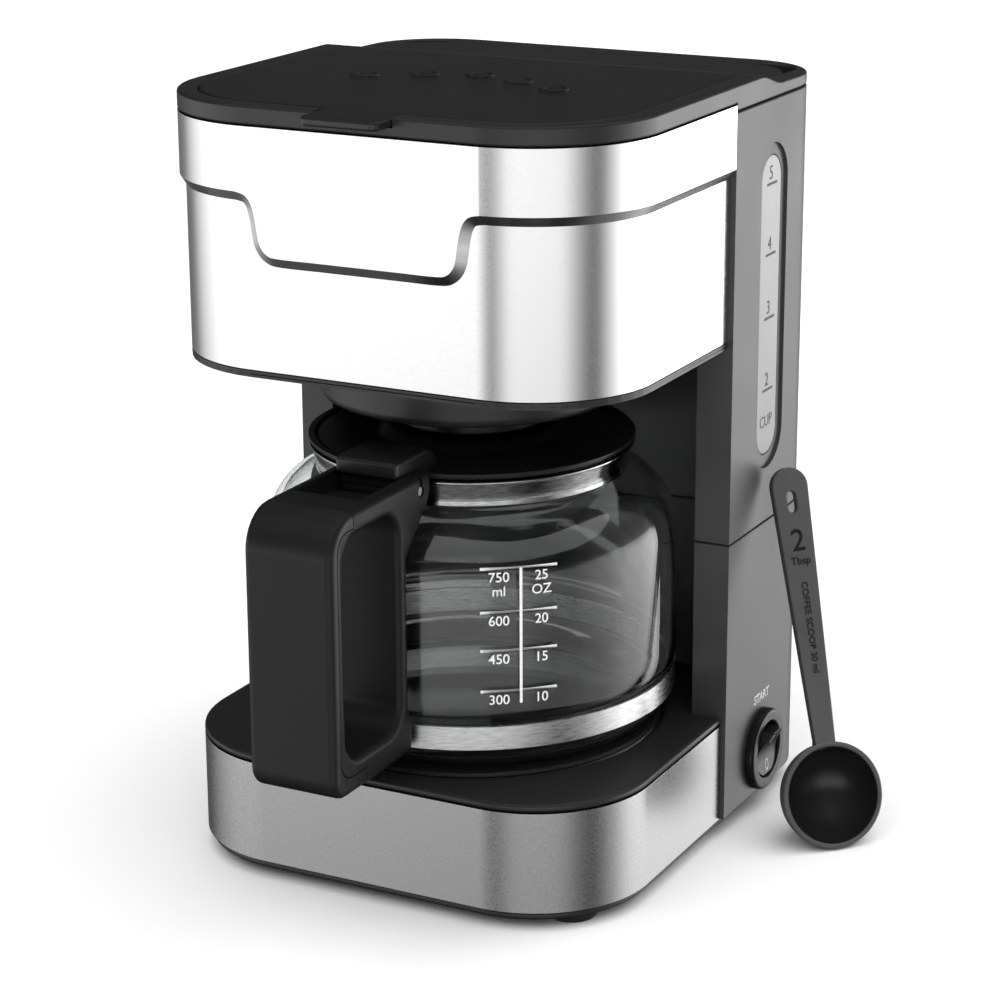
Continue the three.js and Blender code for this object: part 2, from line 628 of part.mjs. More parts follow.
function makeTopLid() {
  const corners = [-1, 1].map((side) =>
    box([Math.min(side * LID_REAR.half, side * FAR), LID_REAR.start, 0],
      [Math.max(side * LID_REAR.half, side * FAR), FAR, FAR * 2]),
  );
  const sheet = prism(outline(COLLAR_WIDTH + GAP), 200, 300).intersect(topLayer(0, LID_THICKNESS));
  const plate = cut(sheet.intersect(before(HINGE_Y)), ...corners);
  const { half, front, thickness } = LID_TAB;
  const tab = prism(roundedBox(-half, half, front, -70, 2.5), HEIGHT - thickness, HEIGHT);
  const knuckles = KNUCKLES.map((x) => rod("x", KNUCKLE_RADIUS, KNUCKLE_LENGTH, [x, HINGE_Y, HINGE_Z], 20));
  const bossRooms = KNUCKLES.flatMap((x) =>
    [-1, 1].map((side) => {
      const at = x + side * (KNUCKLE_LENGTH / 2 + GAP + 2.5);
      return box([at - 2.8, HINGE_Y - 3.2, 0], [at + 2.8, FAR, 2 * FAR]);
    }),
  );
  const bores = KNUCKLES.map((x) => rod("x", 1.3, 40, [x, HINGE_Y, HINGE_Z], 12));
  const vents = VENTS.map(([x, y]) => rod("z", 1.8, 20, [x, y, HEIGHT], 12));
  return cut(join(cut(join(plate, tab), ...bossRooms), ...knuckles), ...bores, ...vents);
}
add("top_lid", makeTopLid(), BLACK);

// ---------------------------------------------------------------- carafe
const GLASS_WALL = 2;
const carafeOutside = [
  [54, 43.3], [60, 45.2], [64.4, 49.6], [65.2, 52.4], // base
  [65.2, 60.8], [66.9, 64], [67.2, 74], [67.2, 86], // groove for the steel band, then the wall
  [66.9, 98], [66.2, 107], [64.6, 114], [61.2, 119.5], // shoulder
  [56.6, 123.4], [51.2, 125.9], [48, 127.2], [50.8, 134.6], // neck and rim
];
const carafeInside = carafeOutside.slice(1).map(([r, z]) => [r - GLASS_WALL, z + 0.4]).reverse();
const carafeProfile = [[0, 43.9], [50, 43.9], ...carafeOutside, ...carafeInside, [52, 46.2], [0, 46.2]];
add("carafe_glass", turned(carafeProfile, [0, BREW_Y], 36), GLASS);

add("carafe_steel_band", ring(65.5, 66.3, 52.6, 60.5, [0, BREW_Y], 36), STEEL);

const neckProfile = [[48.6, 127.8], [49.4, 127.8], [52, 133.9], [51.2, 133.9], [48.6, 127.8]];
add("carafe_neck_band", turned(neckProfile, [0, BREW_Y], 36), STEEL);

const SEAM_Y = -127.7;
const POCKET = { half: 11.2, front: -108, floor: 129.6 };
const CLAMP_SCREW = { head: -91.4, tip: -79, z: 125.8 };

// Side view of the whole handle: grip cover and frame together.
function handleOutline() {
  const shape = new THREE.Shape();
  shape.moveTo(-70.5, HANDLE_TOP);
  shape.lineTo(GRIP_FRONT_Y + 13, HANDLE_TOP);
  shape.absarc(GRIP_FRONT_Y + 13, HANDLE_TOP - 13, 13, Math.PI / 2, Math.PI);
  shape.absarc(GRIP_FRONT_Y + 7, HANDLE_BOTTOM + 7, 7, Math.PI, 1.5 * Math.PI);
  shape.lineTo(-84, HANDLE_BOTTOM);
  shape.lineTo(-84, 63.8);
  shape.lineTo(-86, 68);
  shape.lineTo(-86, 115.5);
  shape.lineTo(-79.8, 122.2);
  shape.lineTo(-73, 129);
  shape.lineTo(-70.5, 133);
  shape.closePath();
  return shape;
}

// Side view of the part that the frame keeps; the rest belongs to the grip cover.
function frameKeeps(gap) {
  const loop = prismX(roundedBox(SEAM_Y - gap, -60, 58.6 - gap, 134.6 + gap, 6), -30, 30);
  const upper = box([-30, -118 - gap, 100], [30, -60, 150]);
  const lower = box([-30, -113 - gap, 40], [30, -60, 100]);
  return join(loop, upper, lower);
}

const fingerGap = () => prismX(roundedBox(-124, -91.5, 63, 132.2, 8), -30, 30);
const handleBlock = () => prismX(handleOutline(), -HANDLE_HALF_WIDTH, HANDLE_HALF_WIDTH, 8);

// Screw that clamps the handle to the neck band, with play all round.
function clampScrew(play) {
  const { head, tip, z } = CLAMP_SCREW;
  const length = tip - head + 2 * play;
  return join(
    rod("y", 3 + play, 2 + 2 * play, [0, head + 1, z], 16),
    rod("y", 1.5 + play, length, [0, (head + tip) / 2, z], 12),
  );
}

function makeHandleFrame() {
  const { half, front, floor } = POCKET;
  const open = HANDLE_TOP + 1;
  const slope = [[front, open], [front, 137], [front + 8, 134.4], [-60, 134.4], [-60, open]];
  const pocket = join(prismX(polygon(slope), -half, half), box([-half, -86, floor], [half, -60, open]));
  const keyhole = box([-30, LID_PIN.y - 1, LID_PIN.z], [30, LID_PIN.y + 1, HANDLE_TOP + 1]);
  return cut(
    handleBlock().intersect(frameKeeps(0)),
    fingerGap(),
    pocket,
    keyhole,
    rod("x", 1.8, 60, [0, LID_PIN.y, LID_PIN.z], 16),
    clampScrew(GAP),
  );
}
add("handle_frame", makeHandleFrame(), BLACK);
add("handle_grip", cut(handleBlock(), frameKeeps(GAP), fingerGap()), BLACK);
add("lid_pin", rod("x", 1.4, 29, [0, LID_PIN.y, LID_PIN.z], 16), SPRING_STEEL);
add("handle_screw", clampScrew(0), SPRING_STEEL);

// ---------------------------------------------------------------- carafe lid
function makeCarafeLid() {
  const plug = [[0, 134.6], [43, 134.6], [43, 129.5], [45, 129.5], [45.6, 135.6]];
  const brim = [[52.4, 136], [52.8, 137], [52, 137.7], [30, 138.4]];
  const dome = [[26, 140.4], [14, 141.4], [0, 141.4]];
  const under = [[-70, 135], [-82, 135], [-82, 139], [-85, 139.5]];
  const over = [[-85, 144.8], [-66, 144.8], [-60.5, 142.5], [-58.5, 138.2], [-61, 137]];
  const arm = 10.6;
  const lever = prismX(polygon([...under, ...over]), -arm, arm);
  const eye = rod("x", 4, 2 * arm, [0, LID_PIN.y, LID_PIN.z], 20);
  const bore = rod("x", 1.7, 60, [0, LID_PIN.y, LID_PIN.z], 16);
  return cut(join(turned([...plug, ...brim, ...dome]), lever, eye), bore);
}
add("carafe_lid", makeCarafeLid(), BLACK);

// ---------------------------------------------------------------- scoop
// Drawn flat, bowl at the origin and handle along +Y, then leant against the column's right side.
function makeScoop() {
  const R = SCOOP_RADIUS;
  const length = 107;
  const arc = (radius, steps, drop) =>
    Array.from({ length: steps + 1 }, (_, i) => {
      const angle = (i * Math.PI) / 2 / steps;
      return [radius * Math.sin(angle), drop - radius * Math.cos(angle)];
    });
  const profile = [...arc(R, 6, 0), ...arc(R - 1.8, 6, 0).reverse()];
  const bowl = turned(profile, [0, 0], 28);
  const stem = new THREE.Shape();
  stem.moveTo(-3.4, R - 2);
  stem.lineTo(3.4, R - 2);
  stem.lineTo(6.3, length - 3);
  stem.absarc(3.3, length - 3, 3, 0, Math.PI / 2);
  stem.absarc(-3.3, length - 3, 3, Math.PI / 2, Math.PI);
  stem.closePath();
  const hang = prism(obround(0, [length - 12, length - 8], 1.6), -9, 9, 5);
  const inside = solid(new THREE.SphereGeometry(R - 1.8, 16, 12));
  const flat = join(cut(prism(stem, -3.4, 0, 5), hang, inside), bowl);
  const turn = new THREE.Matrix4().makeBasis(scoopAcross, SCOOP_ALONG, scoopNormal);
  return flat.transform(turn.setPosition(SCOOP_CENTRE).elements);
}
add("scoop", makeScoop(), GREY);

export default group;
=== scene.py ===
"""Finished looks of a drip coffee maker, built round its packed mechanical frame.

Shapes are drawn in millimetres about the machine's own centre line: x to the right, y to the rear,
z up from the worktop. A Workshop carries them into the frame, in metres.
"""

import logging
import math
from dataclasses import dataclass, field
from enum import Enum
from typing import Callable, Iterable, Sequence

import bmesh
import bpy
from mathutils import Matrix, Vector
from mathutils.geometry import tessellate_polygon


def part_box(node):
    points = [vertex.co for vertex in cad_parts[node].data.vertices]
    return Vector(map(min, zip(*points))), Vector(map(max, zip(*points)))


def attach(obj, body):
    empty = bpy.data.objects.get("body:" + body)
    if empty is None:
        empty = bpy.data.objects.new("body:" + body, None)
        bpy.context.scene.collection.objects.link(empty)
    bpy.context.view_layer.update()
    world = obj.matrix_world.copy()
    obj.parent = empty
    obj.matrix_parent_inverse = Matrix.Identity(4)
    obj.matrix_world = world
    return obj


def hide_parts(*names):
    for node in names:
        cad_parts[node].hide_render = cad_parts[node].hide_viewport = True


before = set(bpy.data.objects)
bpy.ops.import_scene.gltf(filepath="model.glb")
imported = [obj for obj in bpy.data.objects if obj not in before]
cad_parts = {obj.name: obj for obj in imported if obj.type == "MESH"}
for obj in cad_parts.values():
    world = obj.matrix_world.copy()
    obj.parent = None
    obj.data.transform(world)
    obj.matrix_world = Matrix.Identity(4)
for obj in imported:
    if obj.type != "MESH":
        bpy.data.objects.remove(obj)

LOG = logging.getLogger("coffee_maker")
MM = 0.001
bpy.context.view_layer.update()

Point2 = tuple[float, float]
Loop = list[Point2]


# --------------------------------------------------------------------------- drawing in the plane
def arc(cx: float, cy: float, radius: float, start: float, end: float, steps: int = 14) -> Loop:
    """Points along a circular arc.

    Args:
        cx: First coordinate of the centre.
        cy: Second coordinate of the centre.
        radius: Radius of the arc.
        start: Start angle in degrees.
        end: End angle in degrees.
        steps: Number of straight pieces.

    Returns:
        The points from start to end.
    """
    turn = (end - start) / steps
    angles = [math.radians(start + turn * i) for i in range(steps + 1)]
    return [(cx + radius * math.cos(a), cy + radius * math.sin(a)) for a in angles]


def rounded(corners: Sequence[tuple[float, float, float]], steps: int = 8, closed: bool = True) -> Loop:
    """Path through corners with each corner rounded.

    Args:
        corners: Corner positions, each with its rounding radius as third value.
        steps: Number of straight pieces in each rounded corner.
        closed: Whether the last corner joins the first.

    Returns:
        The points of the path.
    """
    points: Loop = []
    count = len(corners)
    for i, (x, y, radius) in enumerate(corners):
        if radius <= 0 or (not closed and i in (0, count - 1)):
            points.append((x, y))
            continue
        here = Vector((x, y))
        back = Vector(corners[i - 1][:2]) - here
        ahead = Vector(corners[(i + 1) % count][:2]) - here
        back.normalize()
        ahead.normalize()
        half = back.angle(ahead) / 2
        reach = radius / math.tan(half)
        centre = here + (back + ahead).normalized() * radius / math.sin(half)
        first = here + back * reach - centre
        last = here + ahead * reach - centre
        sweep = first.angle_signed(last)
        for k in range(steps + 1):
            turned = first.copy()
            turned.rotate(Matrix.Rotation(-sweep * k / steps, 2))
            points.append(tuple(centre + turned))
    return points


def obround(u: float, low: float, high: float, radius: float, steps: int = 16) -> Loop:
    """Slot outline with round ends along its second axis.

    Args:
        u: First coordinate of its middle line.
        low: Centre of the lower round end.
        high: Centre of the upper round end.
        radius: Radius of the round ends.
        steps: Number of straight pieces in each end.

    Returns:
        The closed outline.
    """
    return arc(u, high, radius, 0, 180, steps) + arc(u, low, radius, 180, 360, steps)


def spline(points: Sequence[Point2], steps: int = 5) -> Loop:
    """Smooth curve through points.

    Args:
        points: Points to pass through.
        steps: Number of pieces between two points.

    Returns:
        The points of the curve.
    """
    padded = [points[0], *points, points[-1]]
    curve: Loop = []
    for a, b, c, d in zip(padded, padded[1:], padded[2:], padded[3:]):
        for k in range(steps):
            t = k / steps
            curve.append(tuple(
                0.5 * (2 * q + (r - p) * t
                       + (2 * p - 5 * q + 4 * r - s) * t * t
                       + (3 * q - p - 3 * r + s) * t ** 3)
                for p, q, r, s in zip(a, b, c, d)))
    curve.append(tuple(points[-1]))
    return curve


def circle(u: float, v: float, radius: float, steps: int = 64) -> Loop:
    """Closed circle of points.

    Args:
        u: First coordinate of the centre.
        v: Second coordinate of the centre.
        radius: Radius.
        steps: Number of straight pieces.

    Returns:
        The points, without repeating the first.
    """
    return arc(u, v, radius, 0, 360, steps)[:-1]


def smoothstep(value: float) -> float:
    """Eased value between 0 and 1.

    Args:
        value: Any number; below 0 and above 1 it is cut off.

    Returns:
        The eased value.
    """
    t = min(1.0, max(0.0, value))
    return t * t * (3 - 2 * t)


@dataclass(frozen=True)
class Footprint:
    """Outline of the machine seen from above.

    Attributes:
        half_width: Half of the width.
        half_depth: Half of the depth.
        front_radius: Corner radius in front.
        rear_radius: Corner radius at the rear.
    """

    half_width: float = 79.5
    half_depth: float = 88.8
    front_radius: float = 40.8
    rear_radius: float = 27.6

    def front(self, inset: float, end_y: float, steps: int = 18) -> Loop:
        """Open path round the front, from the left side to the right side.

        Args:
            inset: Distance that the path lies inside the outline.
            end_y: Depth at which both sides end.
            steps: Number of straight pieces in each corner.

        Returns:
            The points of the path.
        """
        x, y, r = self.half_width - inset, self.half_depth - inset, self.front_radius - inset
        left = arc(r - x, r - y, r, 180, 270, steps)
        right = arc(x - r, r - y, r, 270, 360, steps)
        return [(-x, end_y), *left, *right, (x, end_y)]

    def rear(self, inset: float, start_y: float, steps: int = 16) -> Loop:
        """Open path round the rear, from the right side to the left side.

        Args:
            inset: Distance that the path lies inside the outline.
            start_y: Depth at which both sides start.
            steps: Number of straight pieces in each corner.

        Returns:
            The points of the path.
        """
        x, y, r = self.half_width - inset, self.half_depth - inset, self.rear_radius - inset
        right = arc(x - r, y - r, r, 0, 90, steps)
        left = arc(r - x, y - r, r, 90, 180, steps)
        return [(x, start_y), *right, *left, (-x, start_y)]

    def whole(self, inset: float) -> Loop:
        """Closed outline moved inwards.

        Args:
            inset: Distance that the outline lies inside.

        Returns:
            The closed outline.
        """
        return self.front(inset, 0)[1:-1] + self.rear(inset, 0)[1:-1]

    def wrap(self, outer: float, inner: float, end_y: float) -> Loop:
        """Closed outline of a sheet bent round the front, between two insets.

        Args:
            outer: Inset of the outer face.
            inner: Inset of the inner face.
            end_y: Depth at which both ends lie.

        Returns:
            The closed outline.
        """
        return self.front(outer, end_y) + self.front(inner, end_y)[::-1]


@dataclass(frozen=True)
class TopShape:
    """Height of the machine's top, which is level in front and steps down at the rear.

    Attributes:
        height: Height of the level front part.
        dip: Depth of the step.
        start_y: Where the step starts.
        end_y: Where the step ends.
        tail: Further drop at the rear edge.
        rear_y: Position of the rear edge.
    """

    height: float = 250.0
    dip: float = 3.8
    start_y: float = 28.0
    end_y: float = 46.0
    tail: float = 0.7
    rear_y: float = 88.8

    def drop(self, y: float) -> float:
        """How far the top lies below its front part at a depth.

        Args:
            y: Depth.

        Returns:
            How far the top lies below its highest level there.
        """
        step = self.dip * smoothstep((y - self.start_y) / (self.end_y - self.start_y))
        return step + self.tail * max(0.0, (y - self.end_y) / (self.rear_y - self.end_y))

    def cuts(self) -> list[float]:
        """Depths at which a flat face is divided so that it can follow the step.

        Returns:
            The depths at which a mesh needs an edge.
        """
        span = self.end_y - self.start_y
        return [self.start_y + span * i / 12 for i in range(13)]


PLAN = Footprint()
TOP = TopShape()
BREW_Y = -16.5  # depth of the axis that carafe, plate and filter basket share
STEEL_END_Y = 9.0  # both steel wraps end here
BAY_HALF = 67.4
BAY_BACK = 52.0
GAP = 0.3


# --------------------------------------------------------------------------- making meshes
class Axis(Enum):
    """Direction that a flat drawing is extruded along."""

    X = Matrix(((0, 0, 1, 0), (1, 0, 0, 0), (0, 1, 0, 0), (0, 0, 0, 1)))
    Y = Matrix(((1, 0, 0, 0), (0, 0, -1, 0), (0, 1, 0, 0), (0, 0, 0, 1)))
    Z = Matrix.Identity(4)


def turned_way(loop: Loop, outer: bool) -> Loop:
    """Gives a closed outline the direction that its place in a drawing needs.

    Args:
        loop: The outline.
        outer: Whether it is the outside, which runs anticlockwise, or a hole.

    Returns:
        The outline, reversed if need be.
    """
    area = sum(a[0] * b[1] - b[0] * a[1] for a, b in zip(loop, loop[1:] + loop[:1]))
    return list(loop) if (area > 0) == outer else list(loop)[::-1]


def moved_in(loop: Loop, inset: float) -> Loop:
    """Outline moved towards the material on its left.

    Args:
        loop: Closed outline.
        inset: How far it moves.

    Returns:
        The new outline, point for point.
    """
    if inset == 0:
        return list(loop)
    moved: Loop = []
    for i, here in enumerate(loop):
        before, after = Vector(loop[i - 1]), Vector(loop[(i + 1) % len(loop)])
        first = (Vector(here) - before).normalized()
        second = (after - Vector(here)).normalized()
        normal = Vector((-first.y - second.y, first.x + second.x)).normalized()
        stretch = max(0.35, normal.dot(Vector((-first.y, first.x))))
        moved.append(tuple(Vector(here) + normal * inset / stretch))
    return moved


def slab(loops: Sequence[Loop], low: float, high: float, edge: float = 0.0, axis: Axis = Axis.Z,
         edge_steps: int = 3) -> bpy.types.Mesh:
    """Plate of a flat drawing with rounded rims.

    Args:
        loops: Closed outlines: the outside first, then any holes.
        low: Lower end along the axis.
        high: Upper end along the axis.
        edge: Radius of the rounding where the sides meet the faces.
        axis: Direction of the plate's thickness.
        edge_steps: Number of pieces in the rounding.

    Returns:
        The mesh, in millimetres.
    """
    if axis is Axis.Y:
        low, high = -high, -low
    levels = [(0.0, low), (0.0, high)]
    if edge:
        bends = [math.pi / 2 * k / edge_steps for k in range(edge_steps + 1)]
        lower = [(edge * (1 - math.sin(a)), low + edge * (1 - math.cos(a))) for a in bends]
        levels = lower + [(inset, low + high - z) for inset, z in reversed(lower)]
    drawing = [turned_way(loop, i == 0) for i, loop in enumerate(loops)]
    work = bmesh.new()
    ends: list[list[bmesh.types.BMVert]] = [[], []]
    flat: list[list[Vector]] = []
    for loop in drawing:
        rows = [[work.verts.new((u, v, w)) for u, v in moved_in(loop, inset)] for inset, w in levels]
        for lower_row, upper_row in zip(rows, rows[1:]):
            for i in range(len(loop)):
                j = (i + 1) % len(loop)
                work.faces.new((lower_row[i], lower_row[j], upper_row[j], upper_row[i]))
        ends[0] += rows[0]
        ends[1] += rows[-1]
        flat.append([vertex.co.copy() for vertex in rows[-1]])
    for corners in tessellate_polygon(flat):
        for end in ends:
            work.faces.new([end[i] for i in corners])
    bmesh.ops.recalc_face_normals(work, faces=work.faces)
    mesh = bpy.data.meshes.new("plate")
    work.to_mesh(mesh)
    work.free()
    mesh.transform(axis.value)
    return mesh


def mesh_of_curve(curve: bpy.types.Curve) -> bpy.types.Mesh:
    """Turns curve data into a mesh and removes the curve.

    Args:
        curve: The curve data.

    Returns:
        A mesh with doubled points merged and faces pointing outwards.
    """
    holder = bpy.data.objects.new("drawing", curve)
    bpy.context.scene.collection.objects.link(holder)
    bpy.context.view_layer.update()
    mesh = bpy.data.meshes.new_from_object(holder.evaluated_get(bpy.context.evaluated_depsgraph_get()))
    bpy.data.objects.remove(holder)
    bpy.data.curves.remove(curve)
    work = bmesh.new()
    work.from_mesh(mesh)
    bmesh.ops.remove_doubles(work, verts=work.verts, dist=1e-4)
    bmesh.ops.recalc_face_normals(work, faces=work.faces)
    work.to_mesh(mesh)
    work.free()
    mesh.materials.clear()
    return mesh


def lathe(profile: Sequence[Point2], centre: Point2 = (0.0, BREW_Y), steps: int = 96) -> bpy.types.Mesh:
    """Turned piece about a vertical axis.

    Args:
        profile: Radius and height of each point, going round the section; points on the axis have radius 0.
        centre: Position of the axis.
        steps: Number of pieces round the axis.

    Returns:
        The mesh, in millimetres.
    """
    work = bmesh.new()
    rings = []
    for radius, z in profile:
        if radius < 1e-6:
            rings.append([work.verts.new((centre[0], centre[1], z))] * steps)
            continue
        angles = [2 * math.pi * i / steps for i in range(steps)]
        rings.append([
            work.verts.new((centre[0] + radius * math.cos(a), centre[1] + radius * math.sin(a), z))
            for a in angles
        ])
    for lower, upper in zip(rings, rings[1:]):
        for i in range(steps):
            j = (i + 1) % steps
            corners = dict.fromkeys((lower[i], lower[j], upper[j], upper[i]))
            if len(corners) > 2:
                work.faces.new(corners)
    bmesh.ops.remove_doubles(work, verts=work.verts, dist=1e-4)
    bmesh.ops.recalc_face_normals(work, faces=work.faces)
    mesh = bpy.data.meshes.new("turned")
    work.to_mesh(mesh)
    work.free()
    return mesh


def soften(profile: Sequence[tuple[float, float, float]], steps: int = 5) -> Loop:
    """Open profile with rounded corners, for turning.

    Args:
        profile: Corners as radius, height and rounding radius.
        steps: Number of straight pieces in each rounding.

    Returns:
        The rounded profile.
    """
    return rounded(profile, steps, closed=False)


def merged(meshes: Iterable[bpy.types.Mesh]) -> bpy.types.Mesh:
    """One mesh that holds several.

    Args:
        meshes: The meshes to put together.

    Returns:
        The combined mesh.
    """
    work = bmesh.new()
    for mesh in meshes:
        work.from_mesh(mesh)
    whole = bpy.data.meshes.new("merged")
    work.to_mesh(whole)
    work.free()
    return whole


class Cut(Enum):
    """What a carving tool does to a body."""

    AWAY = "DIFFERENCE"
    KEEP = "INTERSECT"
    JOIN = "UNION"


def carve(body: bpy.types.Mesh, *tools: bpy.types.Mesh, how: Cut = Cut.AWAY) -> bpy.types.Mesh:
    """Cuts a body with other bodies.

    Args:
        body: The mesh to cut.
        tools: Meshes that cut it, one after another.
        how: What each tool does.

    Returns:
        The carved mesh.
    """
    holder = bpy.data.objects.new("body", body)
    bpy.context.scene.collection.objects.link(holder)
    helpers = []
    for tool in tools:
        helper = bpy.data.objects.new("tool", tool)
        bpy.context.scene.collection.objects.link(helper)
        step = holder.modifiers.new("carve", "BOOLEAN")
        step.operation = how.value
        step.solver = "EXACT"
        step.object = helper
        helpers.append(helper)
    bpy.context.view_layer.update()
    result = bpy.data.meshes.new_from_object(holder.evaluated_get(bpy.context.evaluated_depsgraph_get()))
    for item in (holder, *helpers):
        bpy.data.objects.remove(item)
    return result


def follow_top(mesh: bpy.types.Mesh, lower_edge: Callable[[float], float] | None = None,
               flat_below: float = -1e9) -> bpy.types.Mesh:
    """Bends a flat piece so that it follows the step in the machine's top.

    Args:
        mesh: The mesh, with level faces.
        lower_edge: How far points at or below flat_below drop at a depth; None moves nothing there.
        flat_below: Height up to which lower_edge is used in place of the top's step.

    Returns:
        The same mesh.
    """
    work = bmesh.new()
    work.from_mesh(mesh)
    levels = TOP.cuts() + [STEEL_END_Y + GAP - 0.02, STEEL_END_Y + GAP]
    for y in levels:
        geometry = [*work.verts, *work.edges, *work.faces]
        bmesh.ops.bisect_plane(work, geom=geometry, dist=1e-4, plane_co=(0, y, 0), plane_no=(0, 1, 0))
    for vertex in work.verts:
        y = vertex.co.y
        if vertex.co.z > flat_below:
            vertex.co.z -= TOP.drop(y)
        elif lower_edge:
            vertex.co.z -= lower_edge(y)
    work.to_mesh(mesh)
    work.free()
    return mesh


def lettering(text: str, height: float, thickness: float = 0.0, bold: float = 0.0) -> bpy.types.Mesh:
    """Flat lettering centred on the origin of its own plane.

    Args:
        text: What it says.
        height: Height of a figure.
        thickness: Thickness of the letters.
        bold: How far the strokes are widened.

    Returns:
        The mesh, in millimetres.
    """
    figure_share = 0.73  # height of a figure over the size of the type
    curve = bpy.data.curves.new("type", "FONT")
    curve.body = text
    curve.size = height / figure_share
    curve.extrude = thickness / 2
    curve.offset = bold
    curve.align_x = "CENTER"
    curve.align_y = "CENTER"
    return mesh_of_curve(curve)


# --------------------------------------------------------------------------- finishes
class NodeBoard:
    """Small helper that wires the shader nodes of one material."""

    def __init__(self, name: str) -> None:
        """Starts a material with one Principled shader.

        Args:
            name: Name of the material.
        """
        self.material = bpy.data.materials.new(name)
        self.material.use_nodes = True
        self.tree = self.material.node_tree
        self.shader = self.tree.nodes["Principled BSDF"]

    def add(self, kind: str, **settings: object) -> bpy.types.Node:
        """Adds a node and sets its properties and sockets.

        Args:
            kind: Blender's name of the node type.
            settings: Properties, or sockets where no property has that name.

        Returns:
            The new node.
        """
        node = self.tree.nodes.new(kind)
        for key, value in settings.items():
            if hasattr(node, key):
                setattr(node, key, value)
            else:
                node.inputs[key.replace("_", " ").title()].default_value = value
        return node

    def link(self, source: bpy.types.NodeSocket, target: bpy.types.NodeSocket) -> None:
        """Joins an output to an input.

        Args:
            source: Socket that gives the value.
            target: Socket that takes it.
        """
        self.tree.links.new(source, target)

    def set(self, **values: object) -> None:
        """Sets sockets of the shader by name, with _ in place of a space.

        Args:
            values: Socket names with their values.
        """
        for key, value in values.items():
            self.shader.inputs[key.replace("_", " ")].default_value = value

    def coordinates(self, stretch: tuple[float, float, float] = (1, 1, 1)) -> bpy.types.NodeSocket:
        """Object coordinates, stretched.

        Args:
            stretch: Scale along each axis.

        Returns:
            The vector socket.
        """
        source = self.add("ShaderNodeTexCoord")
        mapping = self.add("ShaderNodeMapping")
        mapping.inputs["Scale"].default_value = stretch
        self.link(source.outputs["Object"], mapping.inputs["Vector"])
        return mapping.outputs["Vector"]

    def noise(self, scale: float, detail: float = 2.0,
              vector: bpy.types.NodeSocket | None = None) -> bpy.types.NodeSocket:
        """Noise value.

        Args:
            scale: Cells per metre.
            detail: Number of finer layers.
            vector: Coordinates; object coordinates if left out.

        Returns:
            The value socket.
        """
        node = self.add("ShaderNodeTexNoise")
        node.inputs["Scale"].default_value = scale
        node.inputs["Detail"].default_value = detail
        self.link(vector or self.coordinates(), node.inputs["Vector"])
        return node.outputs["Fac"]

    def between(self, value: bpy.types.NodeSocket, low: float, high: float,
                source: tuple[float, float] = (0.3, 0.7)) -> bpy.types.NodeSocket:
        """Spreads a noise value over a range.

        Args:
            value: The value socket.
            low: Result at the lower end.
            high: Result at the upper end.
            source: Ends of the incoming range.

        Returns:
            The value socket.
        """
        node = self.add("ShaderNodeMapRange")
        node.inputs["From Min"].default_value = source[0]
        node.inputs["From Max"].default_value = source[1]
        node.inputs["To Min"].default_value = low
        node.inputs["To Max"].default_value = high
        self.link(value, node.inputs["Value"])
        return node.outputs["Result"]

    def tint(self, value: bpy.types.NodeSocket, dark: Sequence[float], light: Sequence[float]) -> None:
        """Feeds the base colour with a mix of two colours.

        Args:
            value: Mixing value.
            dark: Colour at 0.
            light: Colour at 1.
        """
        ramp = self.add("ShaderNodeValToRGB")
        ramp.color_ramp.elements[0].position = 0.3
        ramp.color_ramp.elements[1].position = 0.7
        ramp.color_ramp.elements[0].color = (*dark, 1)
        ramp.color_ramp.elements[1].color = (*light, 1)
        self.link(value, ramp.inputs["Fac"])
        self.link(ramp.outputs["Color"], self.shader.inputs["Base Color"])

    def bump(self, value: bpy.types.NodeSocket, depth: float, strength: float = 1.0) -> None:
        """Raises the surface by a value.

        Args:
            value: Height socket.
            depth: Height in metres of a full step.
            strength: Share of the effect.
        """
        node = self.add("ShaderNodeBump")
        node.inputs["Distance"].default_value = depth
        node.inputs["Strength"].default_value = strength
        self.link(value, node.inputs["Height"])
        self.link(node.outputs["Normal"], self.shader.inputs["Normal"])


@dataclass(frozen=True)
class Finish:
    """Base of every finish.

    Attributes:
        name: Name of the material.
        slot: The record's material slot.
    """

    name: str
    slot: str

    def material(self) -> bpy.types.Material:
        """The finished material, made once and reused.

        Returns:
            The material.
        """
        return bpy.data.materials.get(self.full_name) or self.make()

    @property
    def full_name(self) -> str:
        """Name in the file, which no material of the frame has.

        Returns:
            The name.
        """
        return f"{self.name}_finish"

    def make(self) -> bpy.types.Material:
        """Builds the material; each kind of finish has its own way.

        Returns:
            The material.
        """
        raise NotImplementedError


@dataclass(frozen=True)
class MouldedPlastic(Finish):
    """Injection-moulded plastic with a fine spark-eroded texture.

    Attributes:
        shade: Grey value of the plastic.
        roughness: Middle roughness.
        texture: Cells of the texture per metre.
        relief: Height of the texture in metres.
        gloss: Strength of the mirror reflection, 0.5 for bare plastic.
    """

    shade: float = 0.02
    roughness: float = 0.4
    texture: float = 2600.0
    relief: float = 0.00002
    gloss: float = 0.5

    def make(self) -> bpy.types.Material:
        """Fine grain in the relief, slow drift in tone and gloss.

        Returns:
            The material.
        """
        board = NodeBoard(self.full_name)
        board.set(IOR=1.5)
        board.shader.inputs["Specular IOR Level"].default_value = self.gloss
        drift = board.noise(26.0, 3.0)
        dark = [self.shade * 0.86] * 3
        light = [self.shade * 1.12] * 3
        board.tint(drift, dark, light)
        board.link(board.between(drift, self.roughness * 0.93, self.roughness * 1.07),
                   board.shader.inputs["Roughness"])
        board.bump(board.noise(self.texture, 1.0), self.relief)
        return board.material


